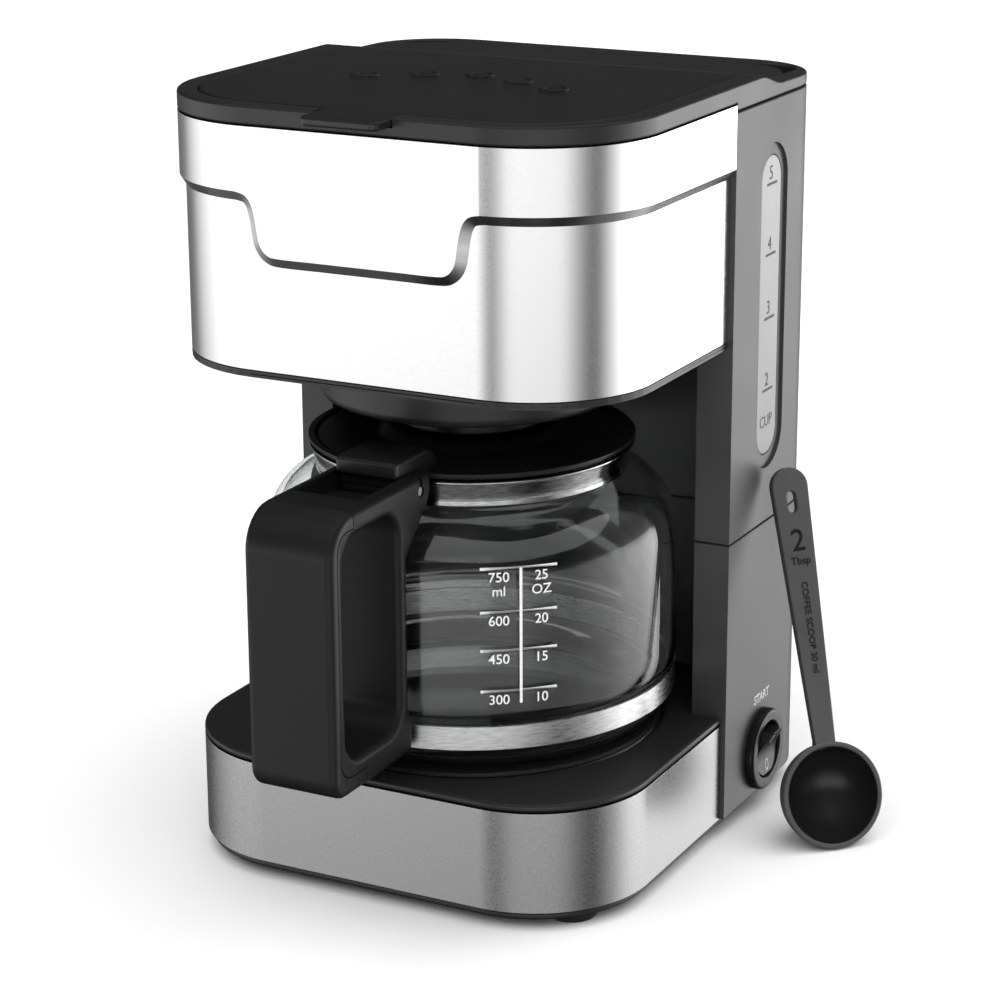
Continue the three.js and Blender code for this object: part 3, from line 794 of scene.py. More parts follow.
@dataclass(frozen=True)
class SatinSteel(Finish):
    """Stainless sheet with a fine short-grain satin.

    Attributes:
        shade: Reflectance.
        roughness: Middle roughness.
        grain: Cells of the grain per metre.
        speckle: How far the tone of the grain varies.
        relief: Height of the grain in metres.
    """

    shade: float = 0.62
    roughness: float = 0.26
    grain: float = 2400.0
    speckle: float = 0.06
    relief: float = 0.000006

    def make(self) -> bpy.types.Material:
        """Speckled tone and roughness over a slow drift.

        Returns:
            The material.
        """
        board = NodeBoard(self.full_name)
        board.set(Metallic=1.0)
        vector = board.coordinates((0.55, 0.55, 1.0))
        grain = board.noise(self.grain, 2.0, vector)
        tone = self.shade
        board.tint(grain, [tone * (1 - self.speckle)] * 3, [min(1.0, tone * (1 + self.speckle))] * 3)
        board.link(board.between(grain, self.roughness * 0.82, self.roughness * 1.2),
                   board.shader.inputs["Roughness"])
        board.bump(grain, self.relief)
        return board.material


@dataclass(frozen=True)
class BrushedRing(Finish):
    """Metal ring brushed round its circumference.

    Attributes:
        centre: Axis of the ring in the frame, in metres.
        shade: Reflectance.
        roughness: Middle roughness.
        streaks: Streaks per metre of height.
        relief: Depth of the brushing in metres.
    """

    centre: tuple[float, float] = (0.0, 0.0)
    shade: float = 0.7
    roughness: float = 0.3
    streaks: float = 1500.0
    relief: float = 0.00001

    def make(self) -> bpy.types.Material:
        """Streaks that run round the axis.

        Returns:
            The material.
        """
        board = NodeBoard(self.full_name)
        board.set(Metallic=1.0)
        place = board.add("ShaderNodeTexCoord")
        shift = board.add("ShaderNodeVectorMath", operation="SUBTRACT")
        shift.inputs[1].default_value = (*self.centre, 0.0)
        split = board.add("ShaderNodeSeparateXYZ")
        turn = board.add("ShaderNodeMath", operation="ARCTAN2")
        join = board.add("ShaderNodeCombineXYZ")
        board.link(place.outputs["Object"], shift.inputs[0])
        board.link(shift.outputs["Vector"], split.inputs["Vector"])
        board.link(split.outputs["Y"], turn.inputs[0])
        board.link(split.outputs["X"], turn.inputs[1])
        board.link(turn.outputs["Value"], join.inputs["X"])
        board.link(split.outputs["Z"], join.inputs["Z"])
        stretch = board.add("ShaderNodeMapping")
        stretch.inputs["Scale"].default_value = (14.0, 1.0, self.streaks)
        board.link(join.outputs["Vector"], stretch.inputs["Vector"])
        streak = board.noise(1.0, 3.0, stretch.outputs["Vector"])
        board.tint(streak, [self.shade * 0.72] * 3, [min(1.0, self.shade * 1.2)] * 3)
        board.link(board.between(streak, self.roughness * 0.8, self.roughness * 1.3),
                   board.shader.inputs["Roughness"])
        board.bump(streak, self.relief)
        return board.material


@dataclass(frozen=True)
class ClearGlass(Finish):
    """Blown borosilicate glass.

    Attributes:
        tone: Colour that passes through.
        ior: Index of refraction.
    """

    tone: tuple[float, float, float] = (0.97, 0.985, 0.98)
    ior: float = 1.47

    def make(self) -> bpy.types.Material:
        """Smooth glass with very faint waves from blowing.

        Returns:
            The material.
        """
        board = NodeBoard(self.full_name)
        board.set(Roughness=0.0, IOR=self.ior)
        board.shader.inputs["Base Color"].default_value = (*self.tone, 1)
        board.shader.inputs["Transmission Weight"].default_value = 1.0
        board.bump(board.noise(18.0, 1.0), 0.0004, 0.12)
        return board.material


@dataclass(frozen=True)
class SmokyClear(Finish):
    """Opaque stand-in for clear plastic, with painted light: a pale tone for the light that shows through
    it.

    Attributes:
        low: Tone at the lower end.
        high: Tone at the upper end.
        span: Heights in metres of both ends.
        roughness: Roughness.
    """

    low: float = 0.25
    high: float = 0.6
    span: tuple[float, float] = (0.12, 0.22)
    roughness: float = 0.18

    def make(self) -> bpy.types.Material:
        """Painted light: tone that lightens upwards, under a faint gloss.

        Returns:
            The material.
        """
        board = NodeBoard(self.full_name)
        place = board.add("ShaderNodeTexCoord")
        split = board.add("ShaderNodeSeparateXYZ")
        board.link(place.outputs["Object"], split.inputs["Vector"])
        # Painted light: the tone lightens with height.
        rise = board.between(split.outputs["Z"], 0.3, 0.7, self.span)
        drift = board.noise(60.0, 2.0)
        blend = board.add("ShaderNodeMix", data_type="FLOAT")
        blend.inputs["Factor"].default_value = 0.12
        board.link(rise, blend.inputs["A"])
        board.link(drift, blend.inputs["B"])
        board.tint(blend.outputs["Result"], [self.low] * 3, [self.high] * 3)
        board.set(Roughness=self.roughness)
        board.shader.inputs["Specular IOR Level"].default_value = 0.12
        return board.material


@dataclass(frozen=True)
class PrintInk(Finish):
    """Screen-printed ink.

    Attributes:
        tone: Colour of the ink.
    """

    tone: tuple[float, float, float] = (0.9, 0.9, 0.9)

    def make(self) -> bpy.types.Material:
        """Ink with a slightly uneven cover.

        Returns:
            The material.
        """
        board = NodeBoard(self.full_name)
        board.tint(board.noise(900.0, 2.0), [c * 0.9 for c in self.tone], self.tone)
        board.set(Roughness=0.5)
        return board.material


@dataclass(frozen=True)
class WireMesh(Finish):
    """Woven filter cloth.

    Attributes:
        pitch: Threads per metre.
        shade: Tone of the threads.
    """

    pitch: float = 1100.0
    shade: float = 0.35

    def make(self) -> bpy.types.Material:
        """Crossed waves make the weave.

        Returns:
            The material.
        """
        board = NodeBoard(self.full_name)
        waves = []
        for direction in ("X", "Z"):
            wave = board.add("ShaderNodeTexWave", wave_type="BANDS", bands_direction=direction)
            wave.inputs["Scale"].default_value = self.pitch / 20
            board.link(board.coordinates(), wave.inputs["Vector"])
            waves.append(wave.outputs["Fac"])
        both = board.add("ShaderNodeMath", operation="MULTIPLY")
        board.link(waves[0], both.inputs[0])
        board.link(waves[1], both.inputs[1])
        board.tint(both.outputs["Value"], [self.shade * 0.3] * 3, [self.shade] * 3)
        board.set(Roughness=0.45, Metallic=0.7)
        board.bump(both.outputs["Value"], 0.0001)
        return board.material


class Finishes:
    """All finishes of the coffee maker."""

    def __init__(self, brew_axis: tuple[float, float]) -> None:
        """Names each finish.

        Args:
            brew_axis: Position of the carafe's axis in the frame, in metres.
        """
        self.black = MouldedPlastic("black_moulding", "black_plastic", shade=0.016, roughness=0.36)
        self.lid = MouldedPlastic("lid_moulding", "black_plastic", shade=0.012, roughness=0.32)
        self.gloss = MouldedPlastic("polished_moulding", "black_plastic", shade=0.01, roughness=0.26,
                                    texture=500.0, relief=0.000004, gloss=0.18)
        self.handle = MouldedPlastic("handle_moulding", "handle_plastic", shade=0.009, roughness=0.44,
                                     gloss=0.28)
        self.grip = MouldedPlastic("grip_moulding", "handle_plastic", shade=0.01, roughness=0.4, gloss=0.28)
        self.column = MouldedPlastic("column_moulding", "column_plastic", shade=0.045, roughness=0.4)
        self.scoop = MouldedPlastic("scoop_moulding", "scoop_plastic", shade=0.075, roughness=0.4)
        # Painted shade: a darker copy of the scoop plastic, for the sheet that lines the bowl's hollow and
        # for the raised letters.
        self.hollow = MouldedPlastic("scoop_painted_shade", "scoop_plastic", shade=0.012, roughness=0.3)
        self.rubber = MouldedPlastic("foot_rubber", "rubber", shade=0.012, roughness=0.75, texture=1500.0)
        self.silicone = MouldedPlastic("silicone_tubing", "silicone", shade=0.55, roughness=0.5)
        self.nylon = MouldedPlastic("natural_nylon", "nylon", shade=0.6, roughness=0.5)
        self.coating = MouldedPlastic("plate_coating", "plate_coating", shade=0.012, roughness=0.3,
                                      texture=1800.0, relief=0.00001)
        self.head_steel = SatinSteel("head_steel", "brushed_steel", shade=0.72, roughness=0.22,
                                     speckle=0.03)
        # Painted shade: the base's steel is a darker copy of the head's steel, standing in for the shadowed
        # surroundings it mirrors low down.
        self.base_steel = SatinSteel("base_steel", "brushed_steel", shade=0.44, roughness=0.3, speckle=0.12)
        self.hardware = SatinSteel("zinc_plate", "hardware_steel", shade=0.5, roughness=0.35)
        self.cast = SatinSteel("cast_aluminium", "cast_aluminium", shade=0.6, roughness=0.5, speckle=0.15)
        self.ring = BrushedRing("carafe_ring", "brushed_steel", centre=brew_axis)
        self.neck = BrushedRing("carafe_neck", "brushed_steel", centre=brew_axis, shade=0.36,
                                roughness=0.14, relief=0.000003)
        self.glass = ClearGlass("carafe_glass", "carafe_glass")
        # The window and the tank are opaque, with painted light in their tone.
        self.window = SmokyClear("gauge_window", "clear_plastic", low=0.26, high=0.4)
        self.tank = SmokyClear("tank_plastic", "clear_plastic", low=0.45, high=0.6)
        self.white_ink = PrintInk("white_print", "carafe_glass")
        self.grey_ink = PrintInk("pale_print", "column_plastic", tone=(0.9, 0.9, 0.9))
        self.dark_ink = PrintInk("dark_print", "clear_plastic", tone=(0.02, 0.02, 0.02))
        self.weave = WireMesh("filter_weave", "nylon")


class Workshop:
    """Carries finished meshes into the frame and keeps account of them."""

    soft_edge = 34.0  # edges that turn by fewer degrees are shaded smooth

    def __init__(self) -> None:
        """Finds the machine's centre line from the collar that crowns it."""
        low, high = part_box("top_collar")
        self.origin = Vector(((low.x + high.x) / 2, (low.y + high.y) / 2, 0.0))
        self.place = Matrix.Translation(self.origin) @ Matrix.Scale(MM, 4)
        self.finishes = Finishes((self.origin.x, self.origin.y + BREW_Y * MM))

    def piece(self, name: str, mesh: bpy.types.Mesh, body: str, finish: Finish,
              replaces: Sequence[str] = (), soft_edge: float = soft_edge) -> bpy.types.Object:
        """Makes an object from a mesh, dresses it and lets it ride on a body.

        Args:
            name: Name of the piece.
            mesh: Its mesh in millimetres about the machine's centre line.
            body: The moving body that carries it.
            finish: Its finish.
            replaces: Nodes of the frame that it stands for.
            soft_edge: Angle in degrees up to which an edge is shaded smooth.

        Returns:
            The new object.
        """
        mesh.transform(self.place)
        mesh.materials.clear()
        mesh.materials.append(finish.material())
        mesh.polygons.foreach_set("use_smooth", [True] * len(mesh.polygons))
        mesh.set_sharp_from_angle(angle=math.radians(soft_edge))
        made = bpy.data.objects.new(name, mesh)
        bpy.context.scene.collection.objects.link(made)
        flats = made.modifiers.new("flat_faces", "WEIGHTED_NORMAL")
        flats.keep_sharp = True
        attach(made, body)
        if replaces:
            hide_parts(*replaces)
        LOG.info("%s rides on %s, replaces %s", name, body, ", ".join(replaces) or "nothing")
        return made

    def dress(self, finish: Finish, *nodes: str) -> None:
        """Gives nodes of the frame their finish.

        Args:
            finish: The finish.
            nodes: Names of the nodes.
        """
        for name in nodes:
            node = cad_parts[name]
            node.data.materials.clear()
            node.data.materials.append(finish.material())
            LOG.info("%s keeps its shape", name)


# --------------------------------------------------------------------------- base
@dataclass
class Base:
    """Base with feet, bottom cover, steel wrap, tray and warming plate.

    Attributes:
        feet: Places of the four feet.
        foot_height: Height of the feet.
        cover_bottom: Underside of the bottom cover.
        bottom: Lower edge of the steel.
        steel_top: Upper edge of the steel.
        tray_top: Top of the tray.
        steel_inset: How far the steel lies inside the outline.
        plate_radius: Radius of the warming plate.
        wall: Thickness of the tray's walls.
    """

    feet: dict[str, Point2] = field(default_factory=lambda: {
        "front_left": (-60, -65), "front_right": (60, -65), "rear_left": (-58, 70), "rear_right": (58, 70)})
    foot_height: float = 3.2
    cover_bottom: float = 3.5
    bottom: float = 6.2
    steel_top: float = 39.4
    tray_top: float = 42.3
    steel_inset: float = 1.6
    plate_radius: float = 62.0
    wall: float = 2.5

    def build(self, shop: Workshop) -> None:
        """Makes the pieces of the base.

        Args:
            shop: The workshop.
        """
        kit = shop.finishes
        for place, centre in self.feet.items():
            profile = soften([(0, 0, 0), (7.8, 0, 0.8), (9, self.foot_height, 0.3),
                              (0, self.foot_height, 0)])
            shop.piece(f"foot_{place}_rubber", lathe(profile, centre, 40), "machine", kit.rubber,
                       [f"foot_{place}"])
        cover = slab([PLAN.whole(3)], self.cover_bottom, self.bottom - GAP, 0.8)
        shop.piece("base_cover", cover, "machine", kit.black, ["bottom_cover"])
        steel = slab([PLAN.wrap(self.steel_inset, self.steel_inset + 1, STEEL_END_Y)], self.bottom,
                     self.steel_top, 0.2, edge_steps=2)
        # The base wrap takes the darker steel, which is painted shade.
        shop.piece("base_wrap", steel, "machine", kit.base_steel, ["base_steel_band"])
        shop.piece("tray", self.tray(), "machine", kit.black, ["base_tray"])
        shop.piece("hot_plate", self.plate(), "machine", kit.coating, ["warming_plate"])
        shop.dress(kit.hardware, "base_screw_1", "base_screw_2", "base_screw_3", "base_screw_4",
                   "element_bracket", "thermal_fuse")
        shop.dress(kit.silicone, "plate_seal", "inlet_hose", "riser_tube")
        shop.dress(kit.cast, "heating_element", "thermostat")

    def tray(self) -> bpy.types.Mesh:
        """Tray with a lip over the steel and a recess for the plate.

        Returns:
            The mesh.
        """
        half, back = BAY_HALF - GAP, BAY_BACK - GAP
        end = STEEL_END_Y - GAP
        rim = PLAN.front(self.steel_inset, end)
        top = rim + [(half, end), (half, back), (-half, back), (-half, end)]
        hole = circle(0, BREW_Y, self.plate_radius + 0.9, 96)
        lip = slab([top, hole], self.steel_top + GAP, self.tray_top, 1.0)
        inner = PLAN.front(self.steel_inset + 1 + GAP, end)
        wall_inner = PLAN.front(self.steel_inset + 1 + self.wall + GAP, end - self.wall)
        skirt = slab([inner + wall_inner[::-1]], self.bottom, self.steel_top + 0.8, 0)
        shelf = lathe([(54, 37), (63.4, 37), (63.4, 40), (54, 40), (54, 37)])
        inside = half - self.wall
        start = end - 3
        bay = [(-half, start), (-half, back), (half, back), (half, start), (inside, start),
               (inside, back - self.wall), (-inside, back - self.wall), (-inside, start)]
        bay_wall = slab([bay], 34.2, self.steel_top + 0.8)
        return merged([lip, skirt, shelf, bay_wall])

    def plate(self) -> bpy.types.Mesh:
        """Pressed warming plate with a raised rim.

        Returns:
            The mesh.
        """
        r = self.plate_radius
        profile = soften([(0, 41.3, 0), (r - 0.6, 41.3, 0.4), (r, 42.1, 0.3), (r - 0.9, 43, 0.4),
                          (54.4, 43, 0.6), (51.8, 42.4, 0.8), (0, 42.4, 0)], 4)
        return lathe(profile)


# --------------------------------------------------------------------------- rear column
@dataclass
class Column:
    """Rear column in two mouldings, with the water window and the tank.

    Attributes:
        bottom: Lower edge.
        seam: Joint between both mouldings.
        top: Upper edge.
        wall: Wall thickness.
        window_y: Middle of the water window.
        window_half: Half of its width.
        window_low: Centre of its lower round end.
        window_high: Centre of its upper round end.
    """

    bottom: float = 6.2
    seam: float = 101.6
    top: float = 241.4
    wall: float = 2.5
    window_y: float = 40.5
    window_half: float = 8.4
    window_low: float = 132.4
    window_high: float = 215.1

    def outline(self, inset: float) -> Loop:
        """U-shaped outline of the column, moved inwards.

        Args:
            inset: How far the outline is moved.

        Returns:
            The closed outline.
        """
        front = STEEL_END_Y + GAP + inset
        bay, back = BAY_HALF + inset, BAY_BACK + inset
        return PLAN.rear(inset, front) + [(-bay, front), (-bay, back), (bay, back), (bay, front)]

    def ring(self, low: float, high: float, edge: float) -> bpy.types.Mesh:
        """Hollow length of column.

        Args:
            low: Lower end.
            high: Upper end.
            edge: Rounding of the rims.

        Returns:
            The mesh.
        """
        return slab([self.outline(0), self.outline(self.wall)], low, high, edge)

    def build(self, shop: Workshop) -> None:
        """Makes the column's pieces.

        Args:
            shop: The workshop.
        """
        kit = shop.finishes
        side = PLAN.half_width
        lower = carve(self.ring(self.bottom, self.seam - GAP, 0.5),
                      slab([circle(40, 21, 11.8, 64)], side - 6, side + 2, axis=Axis.X),
                      slab([circle(-36, 18, 5, 40)], 84, 92, axis=Axis.Y))
        shop.piece("column_base", lower, "machine", kit.column, ["lower_column"])
        recess = obround(self.window_y - 1, self.window_low, self.window_high, self.window_half + 4, 24)
        opening = obround(self.window_y, self.window_low, self.window_high, self.window_half, 24)
        upper = carve(self.ring(self.seam, self.top, 0.5),
                      slab([recess], side - 1, side + 2, axis=Axis.X),
                      slab([opening], side - 6, side + 2, axis=Axis.X))
        shop.piece("column_tower", upper, "machine", kit.column, ["upper_column"])
        pane = obround(self.window_y, self.window_low, self.window_high, self.window_half - 0.2, 24)
        shop.piece("water_window", slab([pane], side - 2.6, side - 0.9, 0.5, Axis.X), "machine",
                   kit.window, ["gauge_window"])
        self.print_marks(shop)
        shop.dress(kit.tank, "water_tank")
        shop.dress(kit.nylon, "check_valve")
        shop.dress(kit.rubber, "cord_gland")

    def print_marks(self, shop: Workshop) -> None:
        """Prints the cup levels on the water window.

        Args:
            shop: The workshop.
        """
        face = PLAN.half_width - 0.85
        marks = []
        for figure, z in (("5", 214.0), ("4", 191.0), ("3", 170.0), ("2", 146.0)):
            marks.append(self.on_side(lettering(figure, 4.6, 0.05), self.window_y - 0.5, z + 3.4, face))
            bar = slab([[(-3.6, -0.4), (4.6, -0.4), (4.6, 0.4), (-3.6, 0.4)]], -0.03, 0.03)
            marks.append(self.on_side(bar, self.window_y, z, face))
        marks.append(self.on_side(lettering("CUP", 3.9, 0.05), self.window_y - 0.4, 135.4, face))
        shop.piece("window_figures", merged(marks), "machine", shop.finishes.dark_ink)

    @staticmethod
    def on_side(mesh: bpy.types.Mesh, y: float, z: float, face: float) -> bpy.types.Mesh:
        """Stands flat lettering up on the right side.

        Args:
            mesh: Lettering in its own plane.
            y: Depth of its middle.
            z: Height of its middle.
            face: Position of the side.

        Returns:
            The same mesh.
        """
        stand = Matrix(((0, 0, 1, face), (1, 0, 0, y), (0, 1, 0, z), (0, 0, 0, 1)))
        mesh.transform(stand)
        return mesh


# --------------------------------------------------------------------------- power switch
@dataclass
class PowerSwitch:
    """Round rocker switch low on the right side.

    Attributes:
        y: Depth of its axis.
        z: Height of its axis.
        face: Outside of the column there.
        radius: Radius of the bezel.
        hole: Radius of the bezel's hole.
        tilt: Angle of the rocker at rest in degrees.
        dip: How far the rocker's middle stands out of the column.
        rise: How far both of its ends stand out when it lies level.
    """

    y: float = 40.0
    z: float = 21.0
    face: float = 79.8
    radius: float = 14.0
    hole: float = 9.6
    tilt: float = 12.0
    dip: float = 1.6
    rise: float = 4.4

    def stand(self) -> Matrix:
        """Turns a piece made about the vertical so that it points out of the right side.

        Returns:
            The transform.
        """
        turn = Matrix.Rotation(math.pi / 2, 4, "Y")
        return Matrix.Translation((self.face, self.y, self.z)) @ turn

    def build(self, shop: Workshop) -> None:
        """Makes the bezel, the rocker and the printed word above it.

        Args:
            shop: The workshop.
        """
        kit = shop.finishes
        profile = soften([(self.hole, -4.4, 0), (11.3, -4.4, 0), (11.3, 0, 0), (self.radius, 0, 0.1),
                          (self.radius, 2.8, 1.4), (self.hole + 0.5, 2.8, 0.5), (self.hole, 2.2, 0.3),
                          (self.hole, -4.4, 0)])
        bezel = lathe(profile, (0, 0), 64)
        bezel.transform(self.stand())
        shop.piece("switch_ring", bezel, "machine", kit.gloss, ["switch_bezel"])
        shop.piece("switch_paddle", self.rocker(), "switch", kit.gloss, ["switch_rocker"])
        shop.piece("switch_marks", self.marks(), "switch", kit.grey_ink)
        word = Column.on_side(lettering("START", 3.2, 0.08, 0.09), self.y, 39.6, self.face - GAP + 0.02)
        shop.piece("switch_word", word, "machine", kit.grey_ink)
        shop.dress(kit.black, "switch_body")

    def tilted(self) -> Matrix:
        """Position of the rocker at rest.

        Returns:
            The transform.
        """
        return (Matrix.Translation((self.face, self.y, self.z))
                @ Matrix.Rotation(math.radians(self.tilt), 4, "Y"))

    def rocker(self) -> bpy.types.Mesh:
        """Paddle with two slightly hollow faces.

        Returns:
            The mesh.
        """
        side = rounded([(-3, -7, 0), (self.rise, -8.6, 0.5), (self.dip, 0, 10), (self.rise, 8.6, 0.5),
                        (-3, 7, 0)], 6)
        paddle = slab([side], -8.9, 8.9, 0.5, Axis.Y)
        spare = math.radians(self.tilt)
        trims = []
        for turn in (spare, -spare):
            trim = slab([circle(0, 0, 9.1, 64)], -12, 12, axis=Axis.X)
            trim.transform(Matrix.Rotation(turn, 4, "Y"))
            trims.append(trim)
        paddle = carve(paddle, *trims, how=Cut.KEEP)
        paddle.transform(self.tilted())
        return paddle

    def marks(self) -> bpy.types.Mesh:
        """On and off signs on the rocker.

        Returns:
            The mesh.
        """
        lean = math.atan2(self.rise - self.dip, 8.6)
        oval = [(0.62 * u, v) for u, v in circle(0, 0, 2.0, 32)]
        inner = [(0.62 * u, v) for u, v in circle(0, 0, 1.45, 32)]
        stroke = [(-0.25, -1.7), (0.25, -1.7), (0.25, 1.7), (-0.25, 1.7)]
        signs = [(slab([oval, inner], -0.05, 0.05), -5.0, lean), (slab([stroke], -0.05, 0.05), 4.6, -lean)]
        made = []
        for mesh, height, turn in signs:
            upright = Matrix(((0, 0, 1, 0), (1, 0, 0, 0), (0, 1, 0, 0), (0, 0, 0, 1)))
            out = self.dip + 0.03 + abs(height) * math.tan(lean)
            mesh.transform(self.tilted() @ Matrix.Translation((out, 0, height))
                           @ Matrix.Rotation(-turn, 4, "Y") @ upright)
            made.append(mesh)
        return merged(made)


# --------------------------------------------------------------------------- brewing head
@dataclass
class Head:
    """Brewing head: steel wrap, raised band, frame, filter parts and drip valve.

    Attributes:
        bottom: Underside of the frame.
        steel_bottom: Lower edge of the steel.
        steel_top: Upper edge of the steel.
        inset: How far the steel lies inside the outline.
        band_bottom: Lower edge of the raised band at the sides.
        bevel: Height of the bevel below the band.
    """

    bottom: float = 166.5
    steel_bottom: float = 168.8
    steel_top: float = 243.7
    inset: float = 1.9
    band_bottom: float = 223.9
    bevel: float = 3.0

    def build(self, shop: Workshop) -> None:
        """Makes the head's pieces.

        Args:
            shop: The workshop.
        """
        kit = shop.finishes
        wrap = slab([PLAN.wrap(self.inset, self.inset + 1, STEEL_END_Y)], self.steel_bottom,
                    self.steel_top, 0.15, edge_steps=2)
        shop.piece("head_wrap", wrap, "machine", kit.head_steel, ["head_steel_wrap"])
        shop.piece("crown_band", self.band(), "machine", kit.head_steel, ["raised_steel_band"], 18)
        shop.piece("head_rim", self.rim(), "machine", kit.black)
        shop.piece("well_cup", self.well(), "machine", kit.black, ["brew_well"])
        shop.piece("valve_cup", self.valve(), "valve", kit.black, ["drip_valve"])
        shop.dress(kit.black, "head_frame", "filter_basket", "spray_arm")
        shop.dress(kit.weave, "mesh_filter")
        shop.dress(kit.hardware, "valve_spring")

    def tab_edge(self) -> Loop:
        """Lower edge of the band across the front, from left to right, as position and height.

        Returns:
            The points of the edge.
        """
        half = spline([(0, 204.6), (14, 204.6), (26.5, 204.6), (30.4, 205.3), (32.8, 207.9), (33.7, 211.6),
                       (34.4, 216), (35.6, 220.3), (37.8, 223), (41.5, self.band_bottom)])
        return [(-x, z) for x, z in reversed(half[1:])] + half

    def band(self) -> bpy.types.Mesh:
        """Raised band whose front drops to a tab, with a bevel along its lower edge.

        Returns:
            The mesh.
        """
        depth = self.inset - 0.05
        route, inner = PLAN.front(0, STEEL_END_Y, 24), PLAN.front(depth, STEEL_END_Y, 24)
        sides = [(outer, inside) for outer, inside in zip(route, inner) if abs(outer[0]) > 42]
        middle = len(sides) // 2
        low = self.band_bottom

        def straight(outer: Point2, inside: Point2) -> list[tuple[float, float, float]]:
            """Section of the band where its lower edge is level.

            Args:
                outer: Point on the outer face.
                inside: Point on the inner face.

            Returns:
                The four corners of the section.
            """
            return [(*inside, self.steel_top), (*outer, self.steel_top), (*outer, low),
                    (*inside, low - self.bevel)]

        edge = self.tab_edge()
        sections = [straight(*pair) for pair in sides[:middle]]
        for before, (x, z), after in zip([edge[0], *edge], edge, [*edge[1:], edge[-1]]):
            along = Vector((after[0] - before[0], after[1] - before[1])).normalized() * self.bevel
            front = 0.07 * max(0.0, abs(x) - 38.7) / 2.8 - PLAN.half_depth
            sections.append([(x, front + depth, self.steel_top), (x, front, self.steel_top), (x, front, z),
                             (x + along.y, front + depth, z - along.x)])
        sections += [straight(*pair) for pair in sides[middle:]]
        work = bmesh.new()
        rows = [[work.verts.new(point) for point in section] for section in sections]
        for left, right in zip(rows, rows[1:]):
            for i in range(4):
                j = (i + 1) % 4
                work.faces.new((left[i], right[i], right[j], left[j]))
        work.faces.new(rows[0])
        work.faces.new(rows[-1][::-1])
        bmesh.ops.recalc_face_normals(work, faces=work.faces)
        mesh = bpy.data.meshes.new("band")
        work.to_mesh(mesh)
        work.free()
        return mesh

    def rim(self) -> bpy.types.Mesh:
        """Rounded black rim that shows below the steel.

        Returns:
            The mesh.
        """
        return slab([PLAN.wrap(self.inset, self.inset + 3.2, STEEL_END_Y - GAP)], self.bottom,
                    self.steel_bottom - 0.2, 0.9)

    def well(self) -> bpy.types.Mesh:
        """Cup below the head that holds the drip valve.

        Returns:
            The mesh.
        """
        profile = soften([(25.6, 150.5, 0.4), (48.5, 150.5, 3), (48.5, 169.3, 0), (54, 169.3, 0),
                          (54, 171.3, 0),
                          (46.5, 171.3, 0), (46.5, 154.1, 2), (44.5, 152.5, 0.4), (25.6, 152.5, 0.4),
                          (25.6, 150.5, 0)])
        return lathe(profile)

    def valve(self) -> bpy.types.Mesh:
        """Drip valve with its stem.

        Returns:
            The mesh.
        """
        profile = soften([(0, 144.2, 0), (21.4, 144.2, 0.4), (22.4, 142, 0.4), (24.4, 142, 0.6),
                          (24.4, 149.5, 0.6),
                          (4, 149.5, 0.6), (3, 151, 0.4), (3, 163.4, 0.6), (0, 163.4, 0)])
        return lathe(profile, steps=64)


